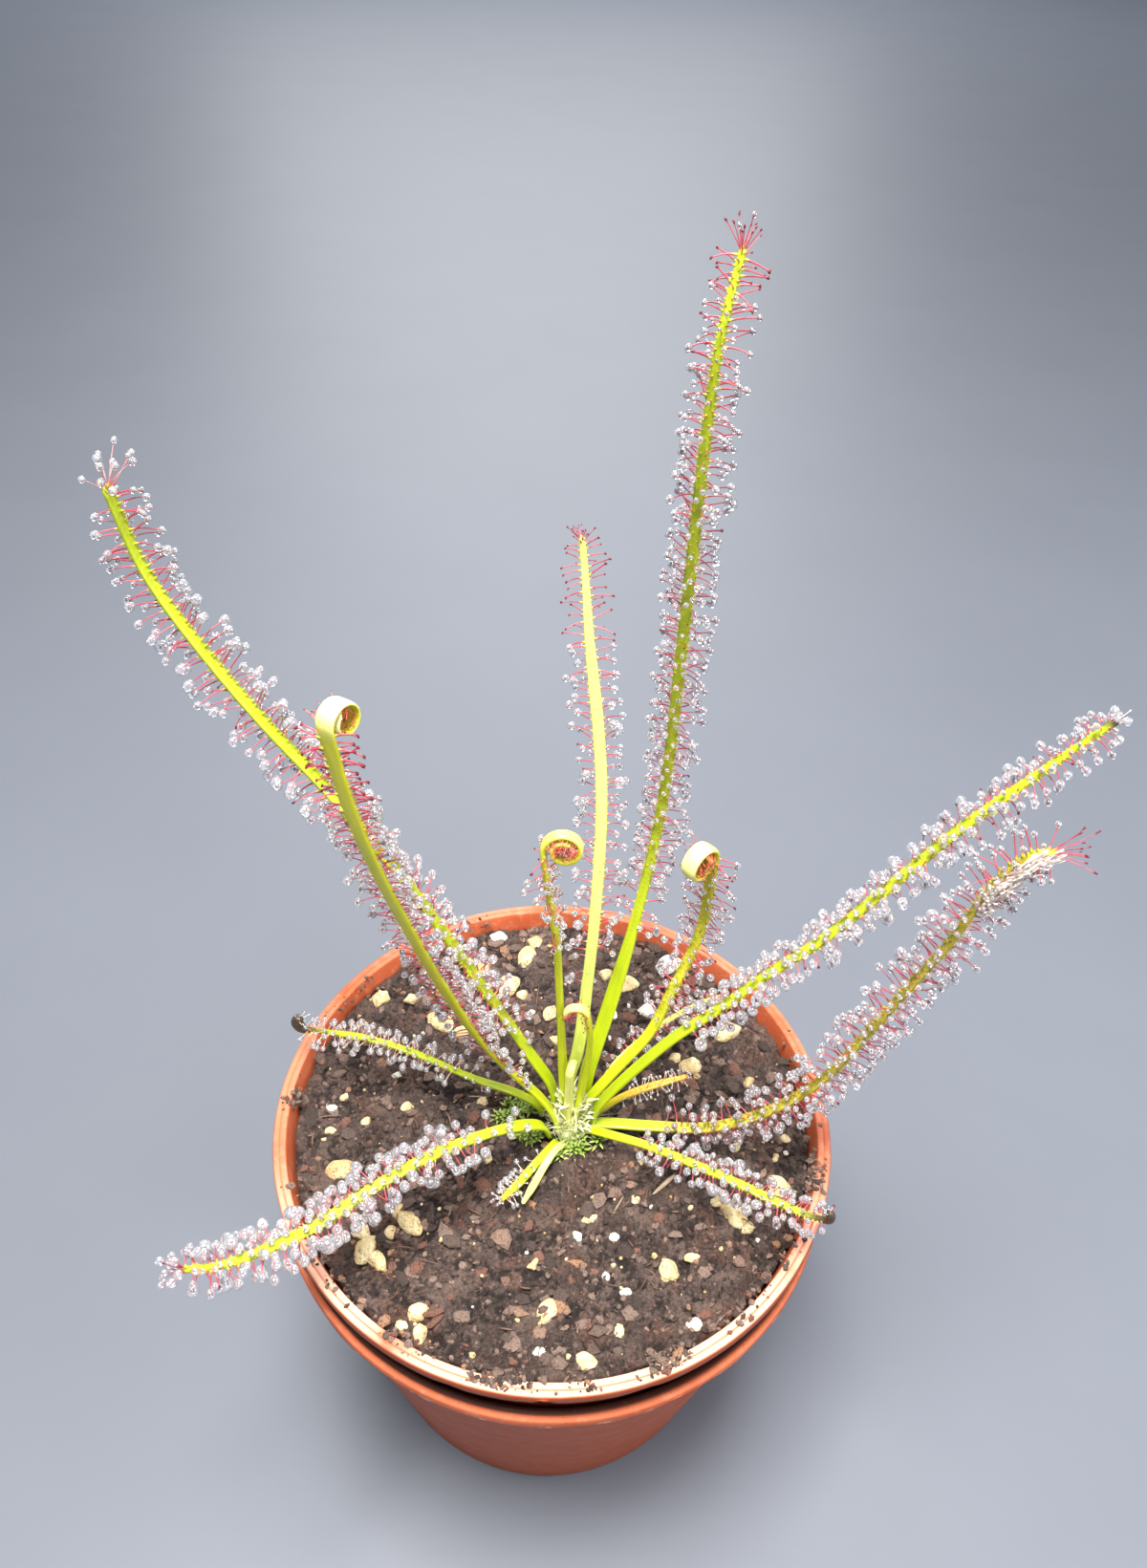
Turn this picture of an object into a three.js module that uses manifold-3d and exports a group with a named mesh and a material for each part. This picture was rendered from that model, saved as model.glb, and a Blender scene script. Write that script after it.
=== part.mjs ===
// A narrow-leaved sundew growing in a thin plastic pot that stands nested in a second, equal pot.
// Millimetres, +Z up. The origin is the middle of the outer pot's base, on the surface it stands on.
// Every leaf is one solid: its strap-shaped blade with the gland-tipped tentacles grown out of it.

import * as THREE from 'three';
import { mergeVertices } from 'three/addons/utils/BufferGeometryUtils.js';
import Module from 'manifold-3d';

const wasm = await Module();
wasm.setup();

// ---------------------------------------------------------------- driving dimensions

// Pot: both pots are the same moulding.
const POT_HEIGHT = 59.5;
const RIM_RADIUS = 45;
const MOUTH_RADIUS = 42.9;
const BASE_RADIUS = 32.7;
const WALL = 0.8;
const SKIRT_HEIGHT = 2;
const FLOOR = 0.9;
const GROOVE_INNER = 12;
const GROOVE_OUTER = 24;
const GROOVE_HEIGHT = 1;
const DRAIN_COUNT = 6;
const DRAIN_RADIUS = 3;
const DRAIN_SIDES = 8;
const POT_SEGMENTS = 32;
const NEST_RISE = 8.6;

// Soil: a mound inside the inner pot.
const SOIL_GAP = 0.4;
const SOIL_EDGE = 65.1;
const SOIL_MOUND = 1.2;
const SOIL_LUMP = 0.32;
const SOIL_RINGS = [5.8, 12, 18.5, 25, 31.5, 37.5];
const GRAIN_SINK = 0.15;
const GRAIN_STRETCH = 1.15;
// The large pumice grains and clods on the soil: [x, y, radius].
const GRAINS = [
  [-33, -11, 2.7], [-27.1, -23.8, 2.2], [-20.9, -19.6, 2.2], [-24.6, -21.2, 1.4], [0.4, -32.4, 2],
  [18.1, -25.8, 2], [28.5, -16.4, 2.3], [36, -11.2, 2.1], [-18.5, -33.1, 1.7], [5.9, -38.6, 1.8],
  [-0.7, -38, 1.2], [21.5, -33.4, 1.3], [-11.9, 38.4, 1.6], [-6.1, 33.6, 2.4], [-14.9, 29.1, 2.6],
  [-9.1, 26.3, 2.2], [-31.9, 23, 1.8], [-20.7, 18.1, 2.6], [-16.8, 15.8, 1.8], [-26.8, 6.9, 1],
  [16.1, 22, 2.3], [20.3, 32.5, 2.7], [11.7, 27.7, 2.4], [29.8, 18.3, 2.5], [22.6, 10.8, 1.9],
  [-1.4, 20.6, 1.8], [-0.4, 14.5, 1.3], [6.4, -17.9, 1.2], [-24, 0.5, 1.1], [13.3, -14.5, 1],
];

// Crown: the short stem that all the leaves grow from.
const CROWN = new THREE.Vector3(2.8, -2, 68);
const CROWN_RADIUS = 5;
const CROWN_TOP = 2.2;
const CROWN_DEPTH = 4;
const CROWN_SEGMENTS = 12;
const SCALE_COUNT = 11;
const SCALE_HEIGHT = 3.4;
const SCALE_WIDTH = 1.5;
const SCALE_THICKNESS = 0.6;
const SOCKET_GAP = 0.4;

// Leaf section and tentacles.
const LEAF_THICKNESS = 0.95;
const STATION_STEP = 6.5;
const COIL_STEP = 30;
const TENTACLE_STEP = 2.95;
const STALK_RADIUS = 0.2;
const NECK_RADIUS = 0.15;
const DROP_RADIUS = 0.56;
const DROP_LENGTH = 1.05;
const CLEARANCE = 0.45;
const MIDDLE_REACH = 1.4;
const BRUSH_COUNT = 6;
const BRUSH_LENGTHENING = 1.4;
const BACK_SHARE = 0.72;
const FACE_SHARE = 0.8;
const TAPER_START = 0.72;
const TAPER = 0.45;
const THINNING = 0.25;
const ROLLED_TURNS = 0.9;
const ROLLED_WIDENING = 0.5;
const SOCKET_REACH = 14;

// Every leaf: azimuth of its plane in degrees from +X, and the way its middle line runs in that plane,
// as [distance out from the crown's axis, height above the crown, distance aside]. bare is the length
// without tentacles. petiole and blade are widths. twist turns the face towards the tip. curl rolls the
// tip inwards by that many turns, from the first radius to the second.
const LEAVES = [
  {
    name: 'leaf_left_tall', azimuth: 165, bare: 22, petiole: 2.0, blade: 1.9, reach: 3.2,
    line: [[2.9, -0.8, -0.4], [2.8, 4, -0.4], [3.6, 9, -0.1], [6.8, 15], [15, 30], [23, 44], [28.5, 52.5],
      [36, 63], [43, 71.5], [50, 81.5], [55.5, 91.5], [58, 102]],
  },
  {
    name: 'leaf_left_inner', azimuth: 192, bare: 18, petiole: 2.0, blade: 1.9, reach: 2.6, twist: 45,
    line: [[2.1, -0.8, 0.95], [2.9, 3, 0.6], [4.5, 7, 0.2], [13, 22], [18.5, 36.5], [23.6, 53.2],
      [26.3, 63.5], [27.9, 70.7], [29.1, 77.4], [30, 82.3], [30.6, 86.4]],
    curl: { turns: 1.15, from: 2.4, to: 1.25 },
  },
  {
    name: 'leaf_tallest', azimuth: 60, bare: 30, petiole: 2.3, blade: 1.9, reach: 2.8,
    line: [[3.7, -0.8], [4.2, 4], [5.2, 8], [11.5, 19], [17.5, 31.5], [22.5, 48.5], [23.8, 62], [24, 76],
      [24.3, 93], [24.5, 109], [25.6, 119.5], [28.8, 127.5]],
  },
  {
    name: 'leaf_back', azimuth: 90, bare: 26, petiole: 1.9, blade: 1.8, reach: 2.8,
    line: [[3.6, -0.8, 0.7], [4.8, 5, 0.4], [6, 10, -0.7], [10.5, 21.5, -1.8], [15.5, 34.5, -2.6],
      [22, 49, -2.8], [26.5, 58.5, -2], [32.5, 72, 0], [36.6, 81.5, 1.1], [37.6, 85, 1.6]],
  },
  {
    name: 'leaf_young_left', azimuth: 140, bare: 30, petiole: 1.6, blade: 1.7, reach: 2.2, twist: 40,
    line: [[1.1, -0.8], [1.3, 5], [1.9, 12], [2.9, 28], [4, 41.5], [5.5, 49.2], [6.8, 57]],
    curl: { turns: 1.35, from: 2.8, to: 1.2 },
  },
  {
    name: 'leaf_young_right', azimuth: 30, bare: 24, petiole: 1.5, blade: 1.6, reach: 2.2,
    line: [[1.6, -0.8, -0.1], [3, 3], [5, 5.6], [9, 9.6], [14, 14.9], [17.4, 24], [19.3, 28.8],
      [21.1, 35.5], [21.5, 42.8], [21.2, 49.5], [21.1, 51.6]],
    curl: { turns: 1.1, from: 2.4, to: 1.15 },
  },
  {
    name: 'leaf_right_long', azimuth: 3, bare: 30, petiole: 2.0, blade: 1.9, reach: 2.9,
    line: [[3.4, -0.8, -0.4], [3.8, 3, -0.5], [5, 6.5, -0.5], [14.3, 21], [22, 30], [27, 36.5],
      [34, 44.5], [42, 56.5], [47.5, 65], [54.5, 74], [62, 83]],
  },
  {
    name: 'leaf_right_arched', azimuth: -8, bare: 12, petiole: 1.8, blade: 1.9, reach: 3.6,
    line: [[4.8, -0.5, -0.6], [7, 0.3, -0.4], [13, 1.5], [22, 4.2], [30, 10.6], [37, 21.2], [41.4, 34],
      [45.1, 46], [47.8, 54.8], [49.7, 63.4], [51.2, 68], [53.4, 71.2], [55.2, 71.8]],
  },
  {
    name: 'leaf_right_low', azimuth: -29, bare: 11, petiole: 1.3, blade: 1.4, reach: 2.6,
    line: [[4.3, -0.5, -0.8], [7, 1.6, -0.5], [14, 4.2], [24, 6.1], [29.7, 6.8], [35.6, 7.2], [40, 7.9],
      [42.4, 8.9]],
    curl: { turns: 0.3, from: 1.6, to: 1.2 },
  },
  {
    name: 'leaf_front_long', azimuth: 216, bare: 13, petiole: 2.0, blade: 1.9, reach: 3.6,
    line: [[4.3, -0.5, -0.2], [5.4, 3], [9, 6.4], [17, 10.4], [27, 12.7], [36, 12.5], [43.5, 11.4],
      [52, 13], [57, 15], [61, 18.5]],
  },
  {
    name: 'leaf_left_low', azimuth: 167, bare: 15, petiole: 1.2, blade: 1.4, reach: 2.6,
    line: [[4.7, -0.5, -0.3], [5.8, 2.4], [9, 4], [16, 5.2], [27, 8.6], [35, 9.4], [42, 8.4],
      [45, 7.9]],
    curl: { turns: 0.5, from: 1.9, to: 1.5 },
  },
  {
    name: 'leaf_front_small', azimuth: 237, bare: 4, petiole: 1.3, blade: 1.4, reach: 1.8,
    line: [[4.3, -0.4, 0.3], [6, -0.1, 0.2], [10, 0.1], [14, 0.6], [18.5, 2.2]],
  },
  {
    name: 'leaf_front_withered', azimuth: 251, bare: 30, petiole: 0.9, blade: 0.8, reach: 1,
    line: [[4.3, -0.4, 0.9], [6.5, 0.8, 0.7], [9.5, 0.4, 0.4], [13, 0.3, -0.6], [17, 1.8, -1.2]],
  },
  {
    name: 'leaf_right_small', azimuth: 14, bare: 4, petiole: 1.1, blade: 1.3, reach: 1.8,
    line: [[4.2, -0.4, 0.4], [5.4, 1.6], [8.2, 3.9], [12.8, 5.5], [19, 6.6]],
  },
  {
    name: 'leaf_right_thin', azimuth: 42, bare: 9, petiole: 0.9, blade: 0.9, reach: 2.2,
    line: [[4.8, -0.5, -0.5], [5.4, 3, -0.4], [8.4, 6.4], [13, 8.3], [20, 8.7], [28.6, 6.9], [34.5, 4.4]],
  },
  {
    name: 'leaf_young_centre', azimuth: 180, bare: 7, petiole: 1.1, blade: 1.4, reach: 1.8,
    line: [[-0.7, -0.6, 0.6], [-0.8, 4, 0.5], [-1.8, 12, 0], [-2.3, 19.6, 0], [-2.2, 24, 0],
      [-1.7, 28, 0]],
    curl: { turns: 0.5, from: 1.7, to: 1.3 }, inward: -1,
  },
  {
    name: 'leaf_bud', azimuth: 250, bare: 13, petiole: 0.9, blade: 1, reach: 0.8,
    line: [[1.4, -0.6], [1.4, 4], [1.35, 8], [1.3, 10.4]],
    curl: { turns: 0.9, from: 1, to: 0.75 },
  },
];

// ---------------------------------------------------------------- colours and finishes

const FINISHES = {
  pot: { color: 0xc96a48, roughness: 0.42, metalness: 0 },
  soil: { color: 0x46362f, roughness: 0.95, metalness: 0 },
  crown: { color: 0xc8cf8a, roughness: 0.7, metalness: 0 },
  leaf: { color: 0xa9bf2e, roughness: 0.45, metalness: 0 },
  pale: { color: 0xd2cf7e, roughness: 0.55, metalness: 0 },
  orange: { color: 0xcf8a33, roughness: 0.5, metalness: 0 },
};

const LEAF_FINISH = {
  leaf_front_withered: 'pale',
  leaf_right_small: 'orange',
  leaf_right_thin: 'orange',
};

// ---------------------------------------------------------------- solids

// Seeded random numbers from 0 to 1.
function randomSource(seed) {
  let state = seed;
  return () => {
    state = (state + 0x6d2b79f5) | 0;
    let t = Math.imul(state ^ (state >>> 15), 1 | state);
    t = (t + Math.imul(t ^ (t >>> 7), 61 | t)) ^ t;
    return ((t ^ (t >>> 14)) >>> 0) / 4294967296;
  };
}

// A closed three.js geometry as a manifold solid.
function toSolid(geometry) {
  const bare = geometry.clone();
  bare.deleteAttribute('normal');
  bare.deleteAttribute('uv');
  const merged = mergeVertices(bare, 1e-4);
  return new wasm.Manifold(new wasm.Mesh({
    numProp: 3,
    vertProperties: new Float32Array(merged.attributes.position.array),
    triVerts: new Uint32Array(merged.index.array),
  }));
}

// A manifold solid as a three.js geometry, without the slivers that cutting leaves.
function toGeometry(solid) {
  const mesh = solid.simplify(0.004).getMesh();
  const geometry = new THREE.BufferGeometry();
  geometry.setAttribute('position', new THREE.BufferAttribute(new Float32Array(mesh.vertProperties), 3));
  geometry.setIndex(Array.from(mesh.triVerts));
  geometry.computeVertexNormals();
  return geometry;
}

// The largest body of a solid: what was cut loose falls away.
function largestBody(solid) {
  return solid.decompose().sort((a, b) => b.volume() - a.volume())[0];
}

// A closed mesh through rings of points that run counter-clockwise about the way from first to last.
// A ring of one point closes the end in a tip, and any other end ring is filled flat.
function loft(rings) {
  const positions = [];
  const faces = [];
  const starts = [];
  for (const ring of rings) {
    starts.push(positions.length / 3);
    ring.forEach((p) => positions.push(p.x, p.y, p.z));
  }
  for (let k = 0; k + 1 < rings.length; k += 1) {
    const [a, b] = [starts[k], starts[k + 1]];
    const [na, nb] = [rings[k].length, rings[k + 1].length];
    const sides = Math.max(na, nb);
    for (let i = 0; i < sides; i += 1) {
      const j = (i + 1) % sides;
      if (na > 1) {
        faces.push(a + i, a + j, nb > 1 ? b + j : b);
      }
      if (nb > 1) {
        faces.push(na > 1 ? a + i : a, b + j, b + i);
      }
    }
  }
  const last = rings.length - 1;
  for (let i = 1; i + 1 < rings[0].length; i += 1) {
    faces.push(starts[0], starts[0] + i + 1, starts[0] + i);
  }
  for (let i = 1; i + 1 < rings[last].length; i += 1) {
    faces.push(starts[last], starts[last] + i, starts[last] + i + 1);
  }
  const geometry = new THREE.BufferGeometry();
  geometry.setAttribute('position', new THREE.Float32BufferAttribute(positions, 3));
  geometry.setIndex(faces);
  return geometry;
}

// ---------------------------------------------------------------- pots

// The wall line: radius of the inner face of a pot at a height above its base.
function innerWallRadius(height) {
  const rise = (height - FLOOR) / (POT_HEIGHT - FLOOR);
  return THREE.MathUtils.lerp(BASE_RADIUS - WALL, MOUTH_RADIUS, rise);
}

// The pot's section, turned about Z: floor with a raised ring, tapered wall, flat rim and hanging skirt.
function potGeometry(bottom) {
  const slope = GROOVE_HEIGHT * 0.8;
  const skirtInner = RIM_RADIUS - WALL;
  const section = [
    [0, 0],
    [GROOVE_INNER, 0],
    [GROOVE_INNER + slope, GROOVE_HEIGHT],
    [GROOVE_OUTER - slope, GROOVE_HEIGHT],
    [GROOVE_OUTER, 0],
    [BASE_RADIUS - WALL, 0],
    [BASE_RADIUS, WALL],
    [MOUTH_RADIUS + WALL, POT_HEIGHT - WALL],
    [skirtInner, POT_HEIGHT - WALL],
    [skirtInner, POT_HEIGHT - SKIRT_HEIGHT],
    [RIM_RADIUS, POT_HEIGHT - SKIRT_HEIGHT],
    [RIM_RADIUS, POT_HEIGHT],
    [MOUTH_RADIUS, POT_HEIGHT],
    [BASE_RADIUS - WALL, FLOOR],
    [GROOVE_OUTER + slope, FLOOR],
    [GROOVE_OUTER, FLOOR + GROOVE_HEIGHT],
    [GROOVE_INNER, FLOOR + GROOVE_HEIGHT],
    [GROOVE_INNER - slope, FLOOR],
    [0, FLOOR],
  ].map(([r, z]) => new THREE.Vector2(r, z));
  const lathe = new THREE.LatheGeometry(section, POT_SEGMENTS);
  lathe.rotateX(Math.PI / 2);
  let pot = toSolid(lathe);
  for (let i = 0; i < DRAIN_COUNT; i += 1) {
    const angle = (i + 0.5) * (2 * Math.PI / DRAIN_COUNT);
    const middle = (GROOVE_INNER + GROOVE_OUTER) / 2;
    const drill = new THREE.CylinderGeometry(DRAIN_RADIUS, DRAIN_RADIUS, 4 * GROOVE_HEIGHT, DRAIN_SIDES);
    drill.rotateX(Math.PI / 2);
    drill.translate(middle * Math.cos(angle), middle * Math.sin(angle), FLOOR);
    pot = pot.subtract(toSolid(drill));
  }
  return toGeometry(pot.translate(0, 0, bottom));
}

// ---------------------------------------------------------------- leaves

// A point given by its leaf's plane: out from the crown's axis, up from the crown, and aside.
function leafPoint(azimuth, [out, up, aside = 0]) {
  const a = THREE.MathUtils.degToRad(azimuth);
  return new THREE.Vector3(
    CROWN.x + out * Math.cos(a) - aside * Math.sin(a),
    CROWN.y + out * Math.sin(a) + aside * Math.cos(a),
    CROWN.z + up,
  );
}

// The direction across a leaf whose face looks back along its azimuth.
function acrossDirection(azimuth, inward) {
  const a = THREE.MathUtils.degToRad(azimuth);
  return new THREE.Vector3(-Math.sin(a), Math.cos(a), 0).multiplyScalar(inward);
}

// Middle line, frames and section sizes of a leaf at equal steps, with its rolled tip at the end.
// along is the length from the base, face looks out of the tentacled side and side runs across it.
function leafStations(leaf, step, coilStep) {
  const curve = new THREE.CatmullRomCurve3(leaf.line.map((p) => leafPoint(leaf.azimuth, p)),
    false, 'centripetal');
  const straight = curve.getLength();
  const curl = leaf.curl ?? { turns: 0, from: 1, to: 1 };
  const curlAngle = 2 * Math.PI * curl.turns;
  const full = straight + curlAngle * (curl.from + curl.to) / 2;
  const inward = leaf.inward ?? 1;
  const stations = [];
  const frameAt = (point, tangent, along) => {
    const turned = leaf.azimuth + (leaf.twist ?? 0) * Math.min(1, along / straight);
    const face = tangent.clone().cross(acrossDirection(turned, inward)).normalize();
    const side = face.clone().cross(tangent).normalize();
    const share = along / full;
    const grown = THREE.MathUtils.smoothstep(along, leaf.bare * 0.6, leaf.bare * 1.2);
    const width = THREE.MathUtils.lerp(leaf.petiole, leaf.blade, grown);
    const rolled = curl.turns > ROLLED_TURNS;
    const roll = rolled ? THREE.MathUtils.smoothstep(along, straight - 10, straight + 2) : 0;
    const taper = 1 - (rolled ? 0 : TAPER) * THREE.MathUtils.smoothstep(share, TAPER_START, 1);
    return {
      point, tangent, face, side, along, share,
      halfWidth: width * taper * (1 + ROLLED_WIDENING * roll) / 2,
      halfThickness: Math.min(LEAF_THICKNESS, width) * (1 - THINNING * share) / 2,
    };
  };
  const count = Math.max(3, Math.round(straight / step));
  for (let i = 0; i <= count; i += 1) {
    const u = i / count;
    stations.push(frameAt(curve.getPointAt(u), curve.getTangentAt(u).normalize(), u * straight));
  }
  if (curl.turns > 0) {
    const start = stations[stations.length - 1];
    const centre = start.point.clone().addScaledVector(start.face, curl.from);
    const steps = Math.ceil(THREE.MathUtils.radToDeg(curlAngle) / coilStep);
    for (let i = 1; i <= steps; i += 1) {
      const angle = curlAngle * i / steps;
      const radius = THREE.MathUtils.lerp(curl.from, curl.to, i / steps);
      const [cos, sin] = [Math.cos(angle), Math.sin(angle)];
      const outward = start.face.clone().multiplyScalar(-cos).addScaledVector(start.tangent, sin);
      const tangent = start.face.clone().multiplyScalar(sin).addScaledVector(start.tangent, cos);
      const along = straight + angle * (curl.from + radius) / 2;
      stations.push(frameAt(centre.clone().addScaledVector(outward, radius), tangent, along));
      stations[stations.length - 1].curled = true;
    }
  }
  return stations;
}

// Four points round the blade: a full-width face for the tentacles and a narrower back.
function bladeRing(station, grow) {
  const w = station.halfWidth + grow;
  const h = station.halfThickness + grow;
  const corners = [[1, FACE_SHARE], [-1, FACE_SHARE], [-BACK_SHARE, -1], [BACK_SHARE, -1]];
  return corners.map(([u, v]) => station.point.clone()
    .addScaledVector(station.side, u * w).addScaledVector(station.face, v * h));
}

// The blade as a solid, grown outwards all round by grow.
function bladeSolid(stations, grow = 0) {
  const rings = stations.map((station) => bladeRing(station, grow));
  const first = stations[0];
  rings[0] = rings[0].map((p) => p.addScaledVector(first.tangent, -grow));
  const last = stations[stations.length - 1];
  rings.push([last.point.clone().addScaledVector(last.tangent, 2 * last.halfWidth + grow)]);
  return toSolid(loft(rings));
}

// One tentacle: a thin three-sided stalk from the middle of the blade, ending in a pointed drop.
function tentacleSolid({ root, tip }) {
  const way = tip.clone().sub(root);
  const length = way.length();
  way.divideScalar(length);
  const aside = new THREE.Vector3(way.y, -way.x, 0);
  if (aside.length() < 0.1) {
    aside.set(1, 0, 0);
  }
  aside.normalize();
  const third = way.clone().cross(aside);
  const ring = (distance, radius) => [0, 1, 2].map((i) => {
    const angle = i * 2 * Math.PI / 3;
    return root.clone().addScaledVector(way, distance)
      .addScaledVector(aside, radius * Math.cos(angle))
      .addScaledVector(third, radius * Math.sin(angle));
  });
  return toSolid(loft([
    ring(0, STALK_RADIUS),
    ring(length - DROP_LENGTH, NECK_RADIUS),
    ring(length - DROP_LENGTH * 0.45, DROP_RADIUS),
    [tip],
  ]));
}

// Where a leaf's tentacles would stand: rows that turn from edge to edge, long at the edges and short
// in the middle of the face, leaning to the tip, and a brush of long ones at the end.
const ROW_ANGLES = [-92, 26, 88, -48, 62, -8, -100, 44, 98, -26];

function tentacleSites(leaf, stations, random) {
  const sites = [];
  const full = stations[stations.length - 1].along;
  let row = Math.floor(random() * ROW_ANGLES.length);
  for (let along = leaf.bare; along < full - 1; along += TENTACLE_STEP * (0.9 + 0.2 * random())) {
    const next = stations.findIndex((s) => s.along >= along);
    const [a, b] = [stations[Math.max(0, next - 1)], stations[next]];
    const mix = (along - a.along) / Math.max(1e-6, b.along - a.along);
    const blend = (key) => a[key].clone().lerp(b[key], mix);
    const angle = THREE.MathUtils.degToRad(ROW_ANGLES[row % ROW_ANGLES.length] + 14 * (random() - 0.5));
    row += 1;
    const edge = Math.sin(angle) ** 2;
    let length = 1 + leaf.halfReach + (leaf.reach - leaf.halfReach) * edge;
    length *= 0.85 + 0.3 * random();
    const face = blend('face');
    if (b.curled) {
      length = edge > 0.5 ? 0.75 * length : 1.5;
    }
    const way = face.multiplyScalar(Math.cos(angle)).addScaledVector(blend('side'), Math.sin(angle))
      .addScaledVector(blend('tangent'), 0.1 + 0.3 * random()).normalize();
    const root = blend('point');
    sites.push({ root, tip: root.clone().addScaledVector(way, length) });
  }
  if (leaf.brush > 0) {
    const end = stations[stations.length - 1];
    for (let i = 0; i < leaf.brush; i += 1) {
      const angle = (i + 0.3 * random()) * 2 * Math.PI / leaf.brush;
      const spread = 0.45 + 0.25 * random();
      const way = end.tangent.clone()
        .addScaledVector(end.face, spread * Math.cos(angle) + 0.15)
        .addScaledVector(end.side, spread * Math.sin(angle)).normalize();
      const root = end.point.clone();
      const length = leaf.reach + BRUSH_LENGTHENING + random();
      sites.push({ root, tip: root.clone().addScaledVector(way, length) });
    }
  }
  return sites;
}

// ---------------------------------------------------------------- soil

// Height of the soil between its grains.
function soilHeight(x, y) {
  const share = Math.min(1, Math.hypot(x, y) / innerWallRadius(POT_HEIGHT));
  const lumps = Math.sin(0.52 * x + 1.3) * Math.cos(0.47 * y - 0.4)
    + 0.7 * Math.sin(0.81 * x - 0.63 * y) + 0.5 * Math.cos(0.95 * y + 0.38 * x);
  return SOIL_EDGE + SOIL_MOUND * (1 - share ** 2) + SOIL_LUMP * lumps;
}

// The soil's body: a lumpy top over a plug that follows the inner pot's wall.
function soilBody() {
  const wallRadius = (z) => innerWallRadius(z - NEST_RISE) - SOIL_GAP;
  const ringPoints = (radius, heightOf) => {
    const ring = [];
    for (let i = 0; i < POT_SEGMENTS; i += 1) {
      const angle = i * 2 * Math.PI / POT_SEGMENTS;
      const [x, y] = [radius * Math.sin(angle), -radius * Math.cos(angle)];
      ring.push(new THREE.Vector3(x, y, heightOf(x, y)));
    }
    return ring;
  };
  const bottom = NEST_RISE + FLOOR + GROOVE_HEIGHT + SOCKET_GAP;
  const rings = [[new THREE.Vector3(0, 0, bottom)]];
  rings.push(ringPoints(wallRadius(bottom), () => bottom));
  rings.push(ringPoints(wallRadius(SOIL_EDGE - 1), soilHeight));
  for (const radius of [...SOIL_RINGS].reverse()) {
    rings.push(ringPoints(radius, soilHeight));
  }
  rings.push([new THREE.Vector3(0, 0, soilHeight(0, 0))]);
  return toSolid(loft(rings));
}

// The large grains, sunk to about half in the surface. One that a leaf lies on is left out.
function grainSites(leafPaths, random) {
  return GRAINS.map(([x, y, radius]) => ({
    centre: new THREE.Vector3(x, y, soilHeight(x, y) + GRAIN_SINK * radius),
    radius,
    turn: random() * Math.PI,
  })).filter(({ centre, radius }) => leafPaths.every((stations) => stations.every((s) => (
    s.point.distanceTo(centre) > radius * 1.2 + s.halfWidth + CLEARANCE))));
}

function grainSolid({ centre, radius, turn }, random) {
  const grain = new THREE.IcosahedronGeometry(radius, 0);
  grain.deleteAttribute('normal');
  grain.deleteAttribute('uv');
  const merged = mergeVertices(grain, 1e-4);
  const position = merged.attributes.position;
  for (let i = 0; i < position.count; i += 1) {
    const scale = 0.82 + 0.3 * random();
    position.setXYZ(i, position.getX(i) * scale * GRAIN_STRETCH, position.getY(i) * scale,
      position.getZ(i) * scale);
  }
  merged.rotateZ(turn);
  merged.translate(centre.x, centre.y, centre.z);
  return toSolid(merged);
}

// ---------------------------------------------------------------- crown

// The dome with its ring of pointed papery scales, and a hole for the base of every leaf.
function crownSolid(leafPaths, random) {
  const section = [
    [0, -CROWN_DEPTH],
    [CROWN_RADIUS * 0.6, -CROWN_DEPTH],
    [CROWN_RADIUS, -CROWN_DEPTH * 0.4],
    [CROWN_RADIUS, -0.6],
    [CROWN_RADIUS * 0.8, CROWN_TOP * 0.35],
    [CROWN_RADIUS * 0.45, CROWN_TOP * 0.8],
    [0, CROWN_TOP],
  ].map(([r, z]) => new THREE.Vector2(r, z));
  const dome = new THREE.LatheGeometry(section, CROWN_SEGMENTS);
  dome.rotateX(Math.PI / 2);
  const bodies = [toSolid(dome)];
  for (let i = 0; i < SCALE_COUNT; i += 1) {
    const angle = i * 2 * Math.PI / SCALE_COUNT;
    const ringRadius = (i % 2 === 0 ? 0.78 : 0.55) * CROWN_RADIUS;
    const out = new THREE.Vector3(Math.cos(angle), Math.sin(angle), 0);
    const side = new THREE.Vector3(-Math.sin(angle), Math.cos(angle), 0);
    const foot = out.clone().multiplyScalar(ringRadius).setZ(-0.6);
    const height = SCALE_HEIGHT * (0.8 + 0.4 * random());
    const ring = (up, lean, width) => [[1, -1], [1, 1], [-1, 1], [-1, -1]].map(([u, v]) => foot.clone()
      .addScaledVector(side, u * width / 2)
      .addScaledVector(out, lean + v * -SCALE_THICKNESS / 2)
      .add(new THREE.Vector3(0, 0, up)));
    bodies.push(toSolid(loft([
      ring(0, 0, SCALE_WIDTH),
      ring(height * 0.55, 0.25, SCALE_WIDTH * 0.8),
      [foot.clone().addScaledVector(out, 0.9).setZ(foot.z + height)],
    ])));
  }
  const crown = wasm.Manifold.union(bodies).translate(CROWN.x, CROWN.y, CROWN.z);
  const sockets = leafPaths.map((stations) => bladeSolid(stations.filter((s) => s.along < SOCKET_REACH),
    SOCKET_GAP));
  return largestBody(crown.subtract(wasm.Manifold.union(sockets)));
}

// ---------------------------------------------------------------- keeping clear

// Shortest distance between a point and the stretch from a to b.
function distanceToStretch(point, a, b) {
  const line = new THREE.Line3(a, b);
  return line.closestPointToPoint(point, true, new THREE.Vector3()).distanceTo(point);
}

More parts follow.
